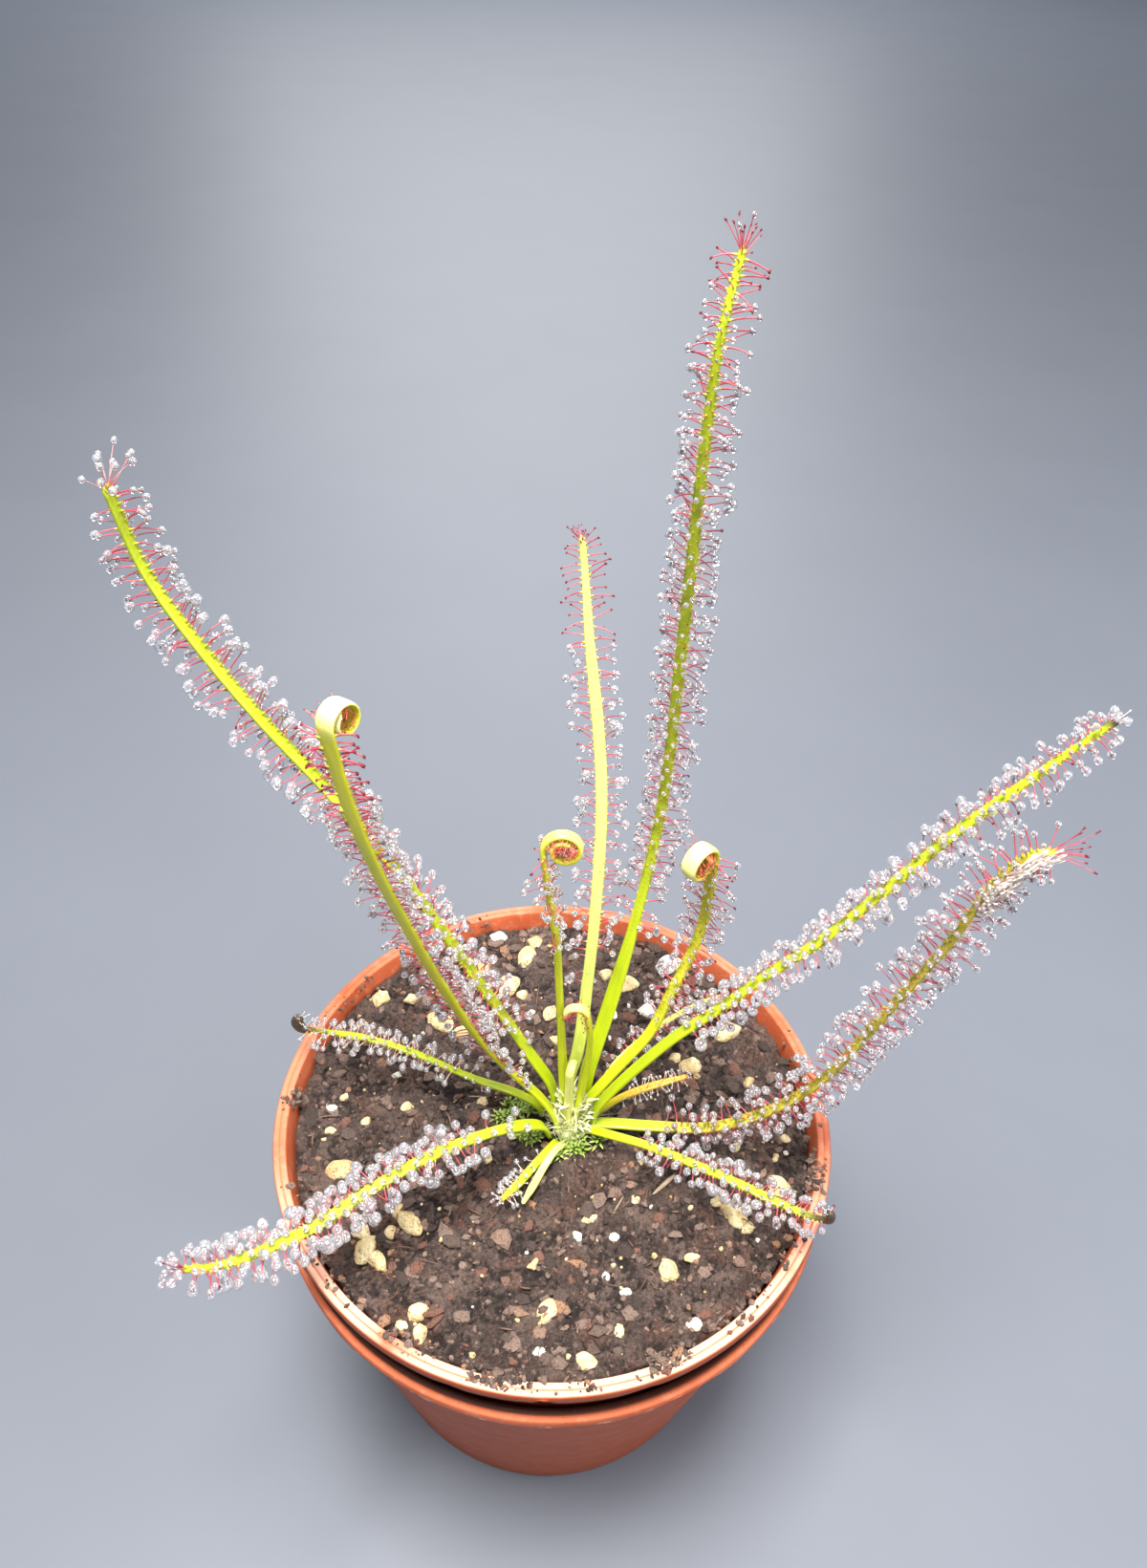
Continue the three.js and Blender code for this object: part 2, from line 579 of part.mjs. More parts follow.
// True where a tentacle keeps off the other leaves, their tentacles, the soil, its grains and the rims.
function standsClear(site, own, leafPaths, kept, grains) {
  const { root, tip } = site;
  const low = soilHeight(tip.x, tip.y) + DROP_RADIUS + CLEARANCE;
  const away = Math.hypot(tip.x, tip.y);
  const overWall = away > MOUTH_RADIUS - 2 && away < RIM_RADIUS + 2;
  const rimTop = POT_HEIGHT + NEST_RISE + CLEARANCE + DROP_RADIUS;
  if (tip.z < low || (overWall && tip.z < rimTop)) {
    return false;
  }
  const neck = root.clone().lerp(tip, 0.5);
  for (let i = 0; i < leafPaths.length; i += 1) {
    if (i !== own && leafPaths[i].some((s) => (
      distanceToStretch(s.point, neck, tip) < s.halfWidth + DROP_RADIUS + CLEARANCE))) {
      return false;
    }
  }
  const touchesGrain = grains.some((g) => (
    distanceToStretch(g.centre, neck, tip) < g.radius * 1.3 + DROP_RADIUS + CLEARANCE));
  return !touchesGrain && kept.every((other) => other.own === own || (
    distanceToStretch(tip, other.root, other.tip) > 2 * DROP_RADIUS + CLEARANCE
    && distanceToStretch(other.tip, root, tip) > 2 * DROP_RADIUS + CLEARANCE
    && distanceToStretch(neck, other.root, other.tip) > DROP_RADIUS + CLEARANCE));
}

// ---------------------------------------------------------------- the plant

const group = new THREE.Group();

function addNode(name, geometry, finish) {
  const mesh = new THREE.Mesh(geometry, new THREE.MeshStandardMaterial(FINISHES[finish]));
  mesh.name = name;
  group.add(mesh);
}

addNode('outer_pot', potGeometry(0), 'pot');
addNode('inner_pot', potGeometry(NEST_RISE), 'pot');

for (const leaf of LEAVES) {
  leaf.halfReach = Math.min(MIDDLE_REACH, leaf.reach * 0.55);
  const tapers = leaf.reach > 1.5 && (leaf.curl?.turns ?? 0) < ROLLED_TURNS;
  leaf.brush = tapers ? BRUSH_COUNT : 0;
}

const coarsePaths = LEAVES.map((leaf) => leafStations(leaf, STATION_STEP, COIL_STEP));
const finePaths = LEAVES.map((leaf) => leafStations(leaf, 1, COIL_STEP / 2));

const grains = grainSites(finePaths, randomSource(5));
const grainRandom = randomSource(11);
const crown = crownSolid(coarsePaths, randomSource(7));
const crownHole = new THREE.CylinderGeometry(CROWN_RADIUS + SOCKET_GAP, CROWN_RADIUS + SOCKET_GAP,
  2 * (CROWN_DEPTH + SOCKET_GAP), CROWN_SEGMENTS);
crownHole.rotateX(Math.PI / 2);
crownHole.translate(CROWN.x, CROWN.y, CROWN.z);
const soil = wasm.Manifold.union([soilBody(), ...grains.map((g) => grainSolid(g, grainRandom))])
  .subtract(toSolid(crownHole));
addNode('soil', toGeometry(largestBody(soil)), 'soil');
addNode('crown', toGeometry(crown), 'crown');

const siteRandom = randomSource(3);
const keptSites = [];
LEAVES.forEach((leaf, own) => {
  const sites = tentacleSites(leaf, finePaths[own], siteRandom);
  for (const site of sites) {
    if (standsClear(site, own, finePaths, keptSites, grains)) {
      keptSites.push({ ...site, own });
    }
  }
});

LEAVES.forEach((leaf, own) => {
  const mine = keptSites.filter((site) => site.own === own);
  const bodies = [bladeSolid(coarsePaths[own]), ...mine.map(tentacleSolid)];
  const grown = largestBody(wasm.Manifold.union(bodies));
  addNode(leaf.name, toGeometry(grown), LEAF_FINISH[leaf.name] ?? 'leaf');
});

export default group;
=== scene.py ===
"""A narrow-leaved sundew in two nested plastic pots, dressed for its picture.

Lengths are in millimetres until a mesh is made, which turns them into metres. +Z is up, the origin is
the middle of the outer pot's base, and -Y is the front.
"""

import math

import bpy
import numpy as np
from mathutils import Matrix, Vector


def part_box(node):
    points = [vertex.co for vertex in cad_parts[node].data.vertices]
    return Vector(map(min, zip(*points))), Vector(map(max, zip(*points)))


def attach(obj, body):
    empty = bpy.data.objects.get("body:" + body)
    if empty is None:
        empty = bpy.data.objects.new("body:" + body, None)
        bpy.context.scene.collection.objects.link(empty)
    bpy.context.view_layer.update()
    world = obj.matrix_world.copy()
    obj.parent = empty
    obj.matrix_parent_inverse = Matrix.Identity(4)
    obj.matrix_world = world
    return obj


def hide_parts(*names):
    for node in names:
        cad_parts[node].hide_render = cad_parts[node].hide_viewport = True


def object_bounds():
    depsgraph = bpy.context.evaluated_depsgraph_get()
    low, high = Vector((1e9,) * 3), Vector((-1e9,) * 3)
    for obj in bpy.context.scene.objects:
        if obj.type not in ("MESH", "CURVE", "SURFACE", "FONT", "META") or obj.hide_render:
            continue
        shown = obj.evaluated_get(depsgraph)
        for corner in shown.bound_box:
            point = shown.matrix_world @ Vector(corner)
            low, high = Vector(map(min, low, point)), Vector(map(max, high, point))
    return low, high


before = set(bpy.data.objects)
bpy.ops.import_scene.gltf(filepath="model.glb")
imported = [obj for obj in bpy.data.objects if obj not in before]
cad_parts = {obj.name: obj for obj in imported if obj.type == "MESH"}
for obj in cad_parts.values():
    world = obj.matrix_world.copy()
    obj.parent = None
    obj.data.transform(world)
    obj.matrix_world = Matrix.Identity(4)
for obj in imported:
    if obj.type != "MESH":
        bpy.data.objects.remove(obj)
CAD_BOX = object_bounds()

MM = 0.001
BODY = "root"
TURN = 2 * np.pi
GOLDEN = math.pi * (3 - math.sqrt(5))
GOLDEN_RATIO = (1 + math.sqrt(5)) / 2

# ---------------------------------------------------------------- measures

# The pots are one moulding used twice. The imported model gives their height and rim.
POT_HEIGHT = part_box("outer_pot")[1].z / MM
NEST_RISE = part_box("inner_pot")[0].z / MM
RIM_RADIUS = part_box("outer_pot")[1].x / MM
RIM_WIDTH = 2.1
MOUTH_RADIUS = RIM_RADIUS - RIM_WIDTH
BASE_RADIUS = 32.7
WALL = 0.8
SKIRT_HEIGHT = 2
FLOOR_THICKNESS = 0.9
GROOVE_INNER = 12
GROOVE_OUTER = 24
GROOVE_HEIGHT = 1
DRAIN_COUNT = 6
DRAIN_RADIUS = 3
DRAIN_CORNERS = 24
CUTTER_HEIGHT = 6
POT_SEGMENTS = 240
RIM_TOP = POT_HEIGHT + NEST_RISE

# Soil
SOIL_GAP = 0.4
SOIL_EDGE = 65.1
SOIL_MOUND = 1.2
SOIL_LUMP = 0.32
SOIL_RINGS = 122
SOIL_SEGMENTS = 560
GRAIN_SHARE = 0.84
SMALL_GRAINS = 210
CRUMBS = 3080
BARK_BITS = 950
FIBRES = 1250
FIBRE_REACH = 39

# Crown
CROWN = np.array([2.8, -2.0, 68.0])
CROWN_RADIUS = 3.9
SCALES = 170
HAIRS = 480
MOSS_LEAFLETS = 14

# Leaves. A tip that rolls up by more than ROLLED_TURNS is a young, closed one.
BLADE_CORNERS = 16
STATION_STEP = 0.8
COIL_STEP = 7
ROLLED_TURNS = 0.9
ROLLED_DENSITY = 10
STALK_FOOT_RADIUS = 0.19
THREAD_CORNERS = 4
MIDDLE_LENGTH = 1.5
MATTED_COUNT = 330
TENTACLE_GAP = 0.15
DROP_RINGS = 5
DROP_CORNERS = 8

# Every leaf as in the imported model: azimuth of its plane in degrees from +X, and the points of its middle
# line, [out from the crown's axis, up from the crown, aside]. USUAL_LEAF holds what a row leaves out.
# bare is the stretch without tentacles; petiole, blade and thickness are measures, and taper is the share
# of the width that is lost towards the tip. twist turns the face about Z, inward=-1 puts it on the other
# side. curl rolls the tip up by a number of turns, from a first to a last radius, rolled_width is how much
# wider a closed roll is, and club how much thicker a hooked tip is.
# Tentacles: reach is the longest, dense their number per millimetre, ramp the length over which they
# grow dense, end the length without them at the tip, outermost how far round the leaf they stand, turn
# (and foot_turn near the foot) how far the tentacled side is turned about the leaf, in degrees, and stout
# how much thicker they are near the roll. tuft is the number, length and spread of those at the very end.
# Drops: drop is their usual radius, heavy the share of swollen ones, wet the share of the leaf that has
# any, dry the share of the tuft without one.
# Looks: skin is the finish, tip how much of the end is brown; pale and tuft_pale say how far stalks and
# tuft are bleached, coil_painted_highlight how strong a painted highlight lies on the outer side of the
# roll, and a matted leaf ends in a mass of bleached tentacles.
USUAL_LEAF = dict(taper=0.45, thickness=0.95, twist=0, inward=1, curl=(0, 1, 1), rolled_width=0.5, club=0,
                  ramp=6, end=0, outermost=128, turn=0, stout=0, tuft=(0, 0, 0), heavy=0, wet=1.1, dry=0.15,
                  skin="green", tip=0, pale=0.0, tuft_pale=0.0, coil_painted_highlight=0, matted=False)
LEAVES = {
    "leaf_left_tall": dict(
        azimuth=165, bare=22, petiole=2.2, blade=2, taper=0.2, reach=4.4, dense=4.2, outermost=118,
        turn=-122, foot_turn=0, tuft=(18, 5.6, 1.5), drop=0.68, dry=0, tuft_pale=0.3,
        line=[[2.9, -0.8, -0.4], [2.8, 4, -0.4], [3.6, 9, -0.1], [6.8, 15], [15, 30], [23, 44],
              [28.5, 52.5], [36, 63], [43, 71.5], [50, 81.5], [55.5, 91.5], [58, 102]]),
    "leaf_left_inner": dict(
        azimuth=192, bare=18, petiole=2.6, blade=2.5, twist=45, curl=(1.15, 2.4, 1.25), rolled_width=0.17,
        reach=3.6, dense=4.8, outermost=112, turn=-25, stout=0.5, drop=0.52, wet=0.78, skin="green_painted_light",
        coil_painted_highlight=0.85,
        line=[[2.1, -0.8, 0.95], [2.9, 3, 0.6], [4.5, 7, 0.2], [13, 22], [18.5, 36.5], [23.6, 53.2],
              [26.3, 63.3], [27.8, 70.2], [28.8, 76.6], [29.4, 81.2], [29.8, 85]]),
    "leaf_tallest": dict(
        azimuth=60, bare=34, petiole=2.5, blade=1.6, reach=3.6, dense=4.6, ramp=18, tuft=(14, 3.8, 0.75),
        drop=0.54, wet=0.965, dry=0.75,
        line=[[3.7, -0.8], [4.2, 4], [5.2, 8], [11.5, 19], [17.5, 31.5], [22.5, 48.5], [23.8, 62], [24, 76],
              [24.3, 93], [24.5, 109], [25.6, 119.5], [28.8, 127.5]]),
    "leaf_back": dict(
        azimuth=90, bare=26, petiole=2, blade=1.75, reach=3.5, dense=2.9, turn=180, tuft=(20, 2.6, 1.1),
        drop=0.55, heavy=0.12, wet=0.84, dry=1, skin="yellow",
        line=[[3.6, -0.8, 0.7], [4.8, 5, 0.4], [6, 10, -0.7], [10.5, 21.5, -1.8], [15.5, 34.5, -2.6],
              [22, 49, -2.8], [26.5, 58.5, -2], [32.5, 72, 0], [36.6, 81.5, 1.1], [37.6, 85, 1.6]]),
    "leaf_young_left": dict(
        azimuth=140, bare=45, petiole=1.75, blade=1.7, thickness=1.5, twist=40, curl=(1.35, 2.8, 1.2),
        rolled_width=0.1, reach=4, dense=3.7, ramp=2, drop=0.48, skin="green_painted_light", coil_painted_highlight=0.25,
        line=[[1.1, -0.8], [1.3, 5], [1.9, 12], [2.9, 28], [4, 41.5], [5.5, 49.2], [6.8, 57]]),
    "leaf_young_right": dict(
        azimuth=30, bare=24, petiole=1.7, blade=1.6, thickness=1.4, twist=16, curl=(1.1, 2.9, 1.3),
        rolled_width=0.7, reach=3.9, dense=4, drop=0.5, skin="green_painted_light", coil_painted_highlight=0.5,
        line=[[1.6, -0.8, -0.1], [3, 3], [5, 5.6], [9, 9.6], [14, 14.9], [17.4, 24], [19.3, 28.8],
              [21.1, 35.5], [21.5, 42.8], [21.2, 49.5], [21.1, 51.6]]),
    "leaf_right_long": dict(
        azimuth=3, bare=30, petiole=2.2, blade=1.9, reach=3.1, dense=4, tuft=(9, 2, 1), drop=0.73, dry=0.6,
        tip=0.008, tuft_pale=0.8,
        line=[[3.4, -0.8, -0.4], [3.8, 3, -0.5], [5, 6.5, -0.5], [14.3, 21], [22, 30], [27, 36.5],
              [34, 44.5], [42, 56.5], [47.5, 65], [54.5, 74], [62, 83]]),
    "leaf_right_arched": dict(
        azimuth=-8, bare=14.3, petiole=2, blade=1.9, reach=4.3, dense=4.4, turn=-75, tuft=(11, 6, 0.6),
        drop=0.6, dry=0.9, skin="reddish", matted=True,
        line=[[2.2, -0.4, -0.4], [4.2, 0.9, -0.4], [7, 1.5, -0.3], [13, 2], [22, 4.2], [30, 10.6],
              [37, 21.2], [41.4, 34], [45.1, 46], [47.8, 54.8], [49.7, 63.4], [51.2, 68], [53.4, 71.2],
              [55.2, 71.8]]),
    "leaf_right_low": dict(
        azimuth=-29, bare=13.3, petiole=1.5, blade=1.4, curl=(0.3, 1.6, 1.2), club=0.6, reach=2.9,
        dense=3.8, end=2.5, tuft=(10, 1.6, 0.9), drop=0.64, dry=1, tip=0.12, tuft_pale=1,
        line=[[1.8, -0.4, -0.4], [4, 1.2, -0.5], [7, 2.3, -0.4], [14, 4.2], [24, 6.1], [29.7, 6.8],
              [35.6, 7.2], [40, 7.9], [42.4, 8.9]]),
    "leaf_front_long": dict(
        azimuth=216, bare=13, petiole=2.2, blade=1.75, reach=3.6, dense=4.3, ramp=13, tuft=(12, 4.2, 0.7),
        drop=0.8, heavy=0.05,
        line=[[4.3, -0.5, -0.2], [5.4, 3], [9, 6.4], [17, 10.4], [27, 12.7], [36, 12.5], [43.5, 11.4],
              [52, 13], [57, 15], [61, 18.5]]),
    "leaf_left_low": dict(
        azimuth=167, bare=15, petiole=1.4, blade=1.1, curl=(0.42, 1.5, 1), club=1.6, reach=2.6, dense=4,
        end=3, tuft=(12, 1.7, 1.3), drop=0.54, dry=1, tip=0.13, pale=0.6, tuft_pale=1,
        line=[[4.7, -0.5, -0.3], [5.8, 2.4], [9, 4], [16, 5.2], [27, 8.6], [35, 9.4], [42, 8.4],
              [45, 7.9]]),
    "leaf_front_small": dict(
        azimuth=237, bare=4, petiole=1.3, blade=1.4, reach=2.1, dense=5.5, tuft=(8, 2, 0.8), drop=0.4,
        pale=0.8,
        line=[[4.3, -0.4, 0.3], [6, -0.1, 0.2], [10, 0.1], [14, 0.6], [18.5, 2.2]]),
    "leaf_front_withered": dict(
        azimuth=251, bare=30, petiole=1.2, blade=1.1, reach=1, dense=0, drop=0.3, skin="pale",
        line=[[4.3, -0.4, 0.4], [6.5, 0.8, -0.2], [9.5, 0.6, -0.8], [13, 0.4, -1.2], [17, 1.8, -1.3]]),
    "leaf_right_small": dict(
        azimuth=14, bare=8, petiole=1.1, blade=1.3, reach=1.6, dense=4.4, tuft=(6, 1.4, 0.8), drop=0.27,
        skin="orange", pale=0.75,
        line=[[4.2, -0.4, 0.4], [5.4, 1.6], [8.2, 3.9], [12.8, 5.5], [19, 6.6]]),
    "leaf_right_thin": dict(
        azimuth=42, bare=9, petiole=0.9, blade=0.9, reach=2.4, dense=3, drop=0.45, skin="yellow",
        line=[[4.8, -0.5, -0.5], [5.4, 3, -0.4], [8.4, 6.4], [13, 8.3], [20, 8.7], [28.6, 6.9],
              [34.5, 4.4]]),
    "leaf_young_centre": dict(
        azimuth=180, bare=28, petiole=1.8, blade=2.3, thickness=1.4, inward=-1, curl=(0.5, 1.7, 1.3),
        reach=1.3, dense=8, tuft=(20, 1.6, 1.3), drop=0, dry=1, skin="green_painted_light", coil_painted_highlight=0.45,
        line=[[-0.7, -0.6, 0.6], [-0.8, 4, 0.5], [-1.8, 12, 0], [-2.3, 19.6, 0], [-2.2, 24, 0],
              [-1.7, 28, 0]]),
    "leaf_bud": dict(
        azimuth=250, bare=30, petiole=1.4, blade=1.9, thickness=1.3, curl=(0.9, 1.2, 0.85), reach=0.8,
        dense=0, drop=0, skin="pale",
        line=[[1.4, -0.6], [1.4, 5], [1.35, 10], [1.3, 14.2]]),
}

# ---------------------------------------------------------------- camera and light

def add_object(name, data):
    """A new object in the scene."""
    added = bpy.data.objects.new(name, data)
    bpy.context.collection.objects.link(added)
    return added


CAMERA_PLACE = np.array([1.3, -108.5, 235.5])
CAMERA_DOWN = 41.6
CAMERA_ROLL = 2.11
IMAGE_HEIGHT = 1641
FOCAL_PIXELS = 1230
SENSOR = 36
LAMP_AIM = Vector((0, 0, 0.09))
LAMP_WHITE = (0.97, 0.98, 1.0)
FLOOR_REACH = 3.0


def make_camera():
    """The camera looks along +Y, CAMERA_DOWN degrees below level, turned CAMERA_ROLL degrees clockwise
    about its own axis. Its lens is the focal length in pixels carried over to the sensor."""
    data = bpy.data.cameras.new("camera")
    data.sensor_width = SENSOR
    data.lens = SENSOR * FOCAL_PIXELS / IMAGE_HEIGHT
    data.clip_start = 0.01
    data.clip_end = 20
    camera = add_object("camera", data)
    down, roll = math.radians(CAMERA_DOWN), math.radians(CAMERA_ROLL)
    forward = np.array([0, math.cos(down), -math.sin(down)])
    level = np.array([1.0, 0, 0])
    above = np.array([0, math.sin(down), math.cos(down)])
    right = math.cos(roll) * level + math.sin(roll) * above
    up = math.cos(roll) * above - math.sin(roll) * level
    turn = Matrix(np.column_stack([right, up, -forward]).tolist()).to_4x4()
    camera.matrix_world = Matrix.Translation(CAMERA_PLACE * MM) @ turn
    bpy.context.scene.camera = camera


def make_light(name, place, size, power, tint):
    """A square lamp at place that faces the middle of the plant."""
    data = bpy.data.lights.new(name, "AREA")
    data.shape = "SQUARE"
    data.size = size
    data.energy = power
    data.color = tint
    lamp = add_object(name, data)
    lamp.location = place
    aim = LAMP_AIM - Vector(place)
    lamp.rotation_euler = aim.to_track_quat("-Z", "Y").to_euler()


# ---------------------------------------------------------------- shader writing

class Wire:
    """An output of a node. Sums, products and powers of wires and numbers add Math nodes."""

    def __init__(self, shader, socket):
        self.shader = shader
        self.socket = socket

    def _math(self, operation, first, second):
        return self.shader.node("ShaderNodeMath", {"operation": operation}, {0: first, 1: second})

    def __add__(self, other):
        return self._math("ADD", self, other)

    def __radd__(self, other):
        return self._math("ADD", other, self)

    def __sub__(self, other):
        return self._math("SUBTRACT", self, other)

    def __rsub__(self, other):
        return self._math("SUBTRACT", other, self)

    def __mul__(self, other):
        return self._math("MULTIPLY", self, other)

    def __rmul__(self, other):
        return self._math("MULTIPLY", other, self)

    def __pow__(self, other):
        return self._math("POWER", self, other)

    def sine(self):
        return self._math("SINE", self, 0)

    def span(self, low, high):
        """0 at low, 1 at high, and a smooth rise between them. low may be the greater."""
        return self.shader.node("ShaderNodeMapRange", {"interpolation_type": "SMOOTHSTEP"},
                                {0: self, 1: low, 2: high, 3: 0.0, 4: 1.0})


class Shader:
    """One material: a Principled surface whose constant values are set on its own sockets."""

    def __init__(self, name, **constants):
        self.material = bpy.data.materials.new(name)
        self.material.use_nodes = True
        self.tree = self.material.node_tree
        self.surface = self.tree.nodes["Principled BSDF"]
        for key, value in constants.items():
            self.surface.inputs[key.replace("_", " ").title().replace("Ior", "IOR")].default_value = value
        self.place = self.node("ShaderNodeTexCoord", output="Object")

    def feed(self, node, values):
        """Links each wire to the named socket of the node, and sets each plain value on it."""
        for key, value in values.items():
            if isinstance(value, Wire):
                self.tree.links.new(value.socket, node.inputs[key])
            else:
                node.inputs[key].default_value = value

    def node(self, kind, settings=None, inputs=None, output=0):
        """A new node with these settings and inputs, as the wire from one of its outputs."""
        made = self.tree.nodes.new(kind)
        for key, value in (settings or {}).items():
            setattr(made, key, value)
        self.feed(made, inputs or {})
        return Wire(self, made.outputs[output])

    def attribute(self, name):
        """The value that the mesh carries under this name."""
        return self.node("ShaderNodeAttribute", {"attribute_name": name}, output="Fac")

    def noise(self, size, detail=3.0, vector=None, roughness=0.55):
        """Noise whose bumps are about size millimetres across, or size along a vector of one's own."""
        return self.node("ShaderNodeTexNoise", None, {
            "Vector": vector or self.place, "Scale": 1 / (size * MM) if vector is None else 1 / size,
            "Detail": detail, "Roughness": roughness})

    def cells(self, size):
        """The distance to the nearest of random points about size millimetres apart."""
        return self.node("ShaderNodeTexVoronoi", None, {"Vector": self.place, "Scale": 1 / (size * MM)})

    def vector(self, x, y, z):
        return self.node("ShaderNodeCombineXYZ", None, {0: x, 1: y, 2: z})

    def mix(self, share, first, second):
        """The first colour where share is 0 and the second where it is 1."""
        return self.node("ShaderNodeMix", {"data_type": "RGBA"}, {0: share, 6: first, 7: second}, 2)

    def coats(self, tone, *coats):
        """Colours laid over tone one after another, each given as (share, red, green, blue)."""
        for share, *paint in coats:
            tone = self.mix(share, tone, colour(*paint))
        return tone

    def finish(self, tone, roughness, height=None, depth=0):
        """Feeds the surface. height is a pattern from 0 to 1 that stands depth millimetres high."""
        links = {"Base Color": tone, "Roughness": roughness}
        if height is not None:
            links["Normal"] = self.node("ShaderNodeBump", None, {
                "Strength": 1.0, "Distance": depth * MM, "Height": height})
        self.feed(self.surface, links)
        return self.material


def colour(red, green, blue):
    """A colour from 0-255 screen values, as the linear light values that a shader takes."""
    screen = np.array([red, green, blue]) / 255
    linear = np.where(screen <= 0.04045, screen / 12.92, ((screen + 0.055) / 1.055) ** 2.4)
    return (*linear.tolist(), 1.0)


# ---------------------------------------------------------------- materials

def pot_plastic():
    """Satin terracotta-coloured plastic with faint flow streaks, dust and fine scratches. It carries painted
    shade below the outer skirt, on the inner pot's skirt and between the two pots, painted highlights in
    patches at the skirt's foot and on the outer rim's top face, and the front of the inner rim is dusty
    with a painted highlight."""
    s = Shader("terracotta plastic", specular_ior_level=0.1)
    cloud = s.noise(14, 4)
    dust = s.noise(1.6, 6).span(0.5, 0.74)
    fleck = s.noise(0.5, 2).span(0.66, 0.74)
    across, deep, height = (s.node("ShaderNodeSeparateXYZ", None, {"Vector": s.place}, axis) * (1 / MM)
                            for axis in "XYZ")
    radius = (across * across + deep * deep) ** 0.5
    taper = (MOUTH_RADIUS - BASE_RADIUS + WALL) / (POT_HEIGHT - FLOOR_THICKNESS)
    inner_wall = (height - NEST_RISE - FLOOR_THICKNESS) * taper + BASE_RADIUS - WALL
    outside = (radius - inner_wall).span(0.25 * WALL, 0.75 * WALL)
    rim, inner_rim, inner_skirt = POT_HEIGHT, RIM_TOP, RIM_TOP - SKIRT_HEIGHT
    # Painted highlight: pale patches at the foot of the outer skirt.
    skirt_foot = (height.span(rim - 2.2, rim - 1.9) * height.span(rim - 1.2, rim - 1.6)
                  * s.noise(2.2, 2).span(0.56, 0.62))
    # Painted light on the top face of the outer rim.
    painted_light_rim_face = height.span(rim - 0.3, rim - 0.1) * height.span(rim + 0.16, rim + 0.06)
    # Painted shade in the gap between the two pots, near-black low down over the outer rim's top.
    between = (outside * height.span(rim - 0.5, rim - 0.3) * radius.span(RIM_RADIUS - 0.8, RIM_RADIUS - 1.3)
               * height.span(inner_skirt + 0.1, inner_skirt - 0.1))
    # Painted shade on the inner pot's skirt.
    skirt = (outside * height.span(inner_skirt - 0.1, inner_skirt + 0.1)
             * height.span(inner_rim - 0.05, inner_rim - 0.5))
    # Partly dust and partly a painted highlight, strongest at the front of the inner rim.
    dust_and_highlight_rim = (height.span(inner_rim - 0.2, inner_rim - 0.02) * cloud.span(0.25, 0.5)
                 * (0.15 + 0.55 * deep.span(-8, -30)))
    tone = s.coats(s.mix(cloud.span(0.3, 0.7), colour(186, 90, 56), colour(204, 108, 72)),
                   (dust * 0.3, 222, 156, 128),
                   # Painted shade on the wall below the outer skirt.
                   (height.span(rim - 2, rim - 4) * 0.8, 150, 70, 42),
                   (skirt_foot * 0.7, 244, 200, 180),
                   (painted_light_rim_face * 0.2, 244, 156, 116),
                   (between * 0.75, 104, 44, 26),
                   (between * height.span(rim + 2.4, rim + 0.1) * 0.9, 30, 12, 8),
                   (skirt * 0.7, 132, 56, 32),
                   (dust_and_highlight_rim, 228, 192, 166),
                   (fleck * 0.5, 120, 62, 46))
    return s.finish(tone, 0.34 + 0.22 * s.noise(3, 5), s.noise(0.8, 5), 0.03)


def peat():
    """Moist dark peat with painted shade, near-black between the crumbs, and a grey-brown painted highlight
    on top of them, with redder and paler bits and a fine fibrous grain."""
    s = Shader("moist peat", specular_ior_level=0.4)
    crumb = s.noise(0.55, 7, roughness=0.75)
    # Painted shade: near-black where the soil lies low between its crumbs.
    low = (s.attribute("high") + crumb * 0.6).span(0.5, -0.15)
    tone = s.coats(s.mix(s.noise(5, 4).span(0.36, 0.66), colour(74, 58, 51), colour(118, 97, 87)),
                   (s.noise(1.7, 5).span(0.56, 0.74) * 0.5, 124, 80, 58),
                   (s.noise(7, 3).span(0.52, 0.66) * 0.5, 50, 37, 32),
                   (s.noise(9, 2).span(0.52, 0.64) * 0.35, 120, 72, 52),
                   # Painted highlight on the tops of the fine crumbs, and painted shade in the hollows
                   # between them.
                   (crumb.span(0.5, 0.68) * 0.75, 136, 118, 110),
                   (crumb.span(0.5, 0.36) * 0.7, 44, 34, 30),
                   (s.noise(0.28, 4).span(0.6, 0.72) * 0.45, 178, 154, 134),
                   (low * 0.85, 32, 25, 22))
    return s.finish(tone, 0.55 + 0.35 * crumb, crumb, 0.9)


def peat_crumbs():
    """Loose crumbs of peat and bark, each with a tone of its own."""
    s = Shader("peat crumbs", specular_ior_level=0.35)
    own, grain = s.attribute("tone"), s.noise(0.3, 4)
    tone = s.coats(s.mix(own.span(0.0, 0.7), colour(58, 47, 42), colour(122, 101, 90)),
                   (own.span(0.86, 1.0), 150, 112, 84),
                   (own.span(0.36, 0.42) * own.span(0.56, 0.5) * 0.6, 112, 66, 48),
                   (grain.span(0.55, 0.3) * 0.6, 34, 27, 25))
    return s.finish(tone, 0.85, grain, 0.25)


def pumice():
    """Cream pumice and white perlite, pitted, with peat in the pits. tone turns cream to white."""
    s = Shader("pumice grains", specular_ior_level=0.3)
    own, pits = s.attribute("tone"), s.cells(0.55)
    cloud = s.noise(2.4, 3).span(0.35, 0.65)
    tone = s.coats(s.mix(cloud, colour(228, 210, 164), colour(206, 176, 124)),
                   (own.span(0.55, 0.7), 240, 234, 218),
                   (own.span(0.2, 0.05) * 0.7, 184, 140, 92),
                   (s.noise(1.1, 5).span(0.55, 0.7) * 0.7, 132, 100, 72),
                   (pits.span(0.22, 0.05) * 0.45, 150, 118, 84))
    return s.finish(tone, 0.9, pits.span(0.0, 0.5) + s.noise(0.5, 4) * 1.5, 0.2)


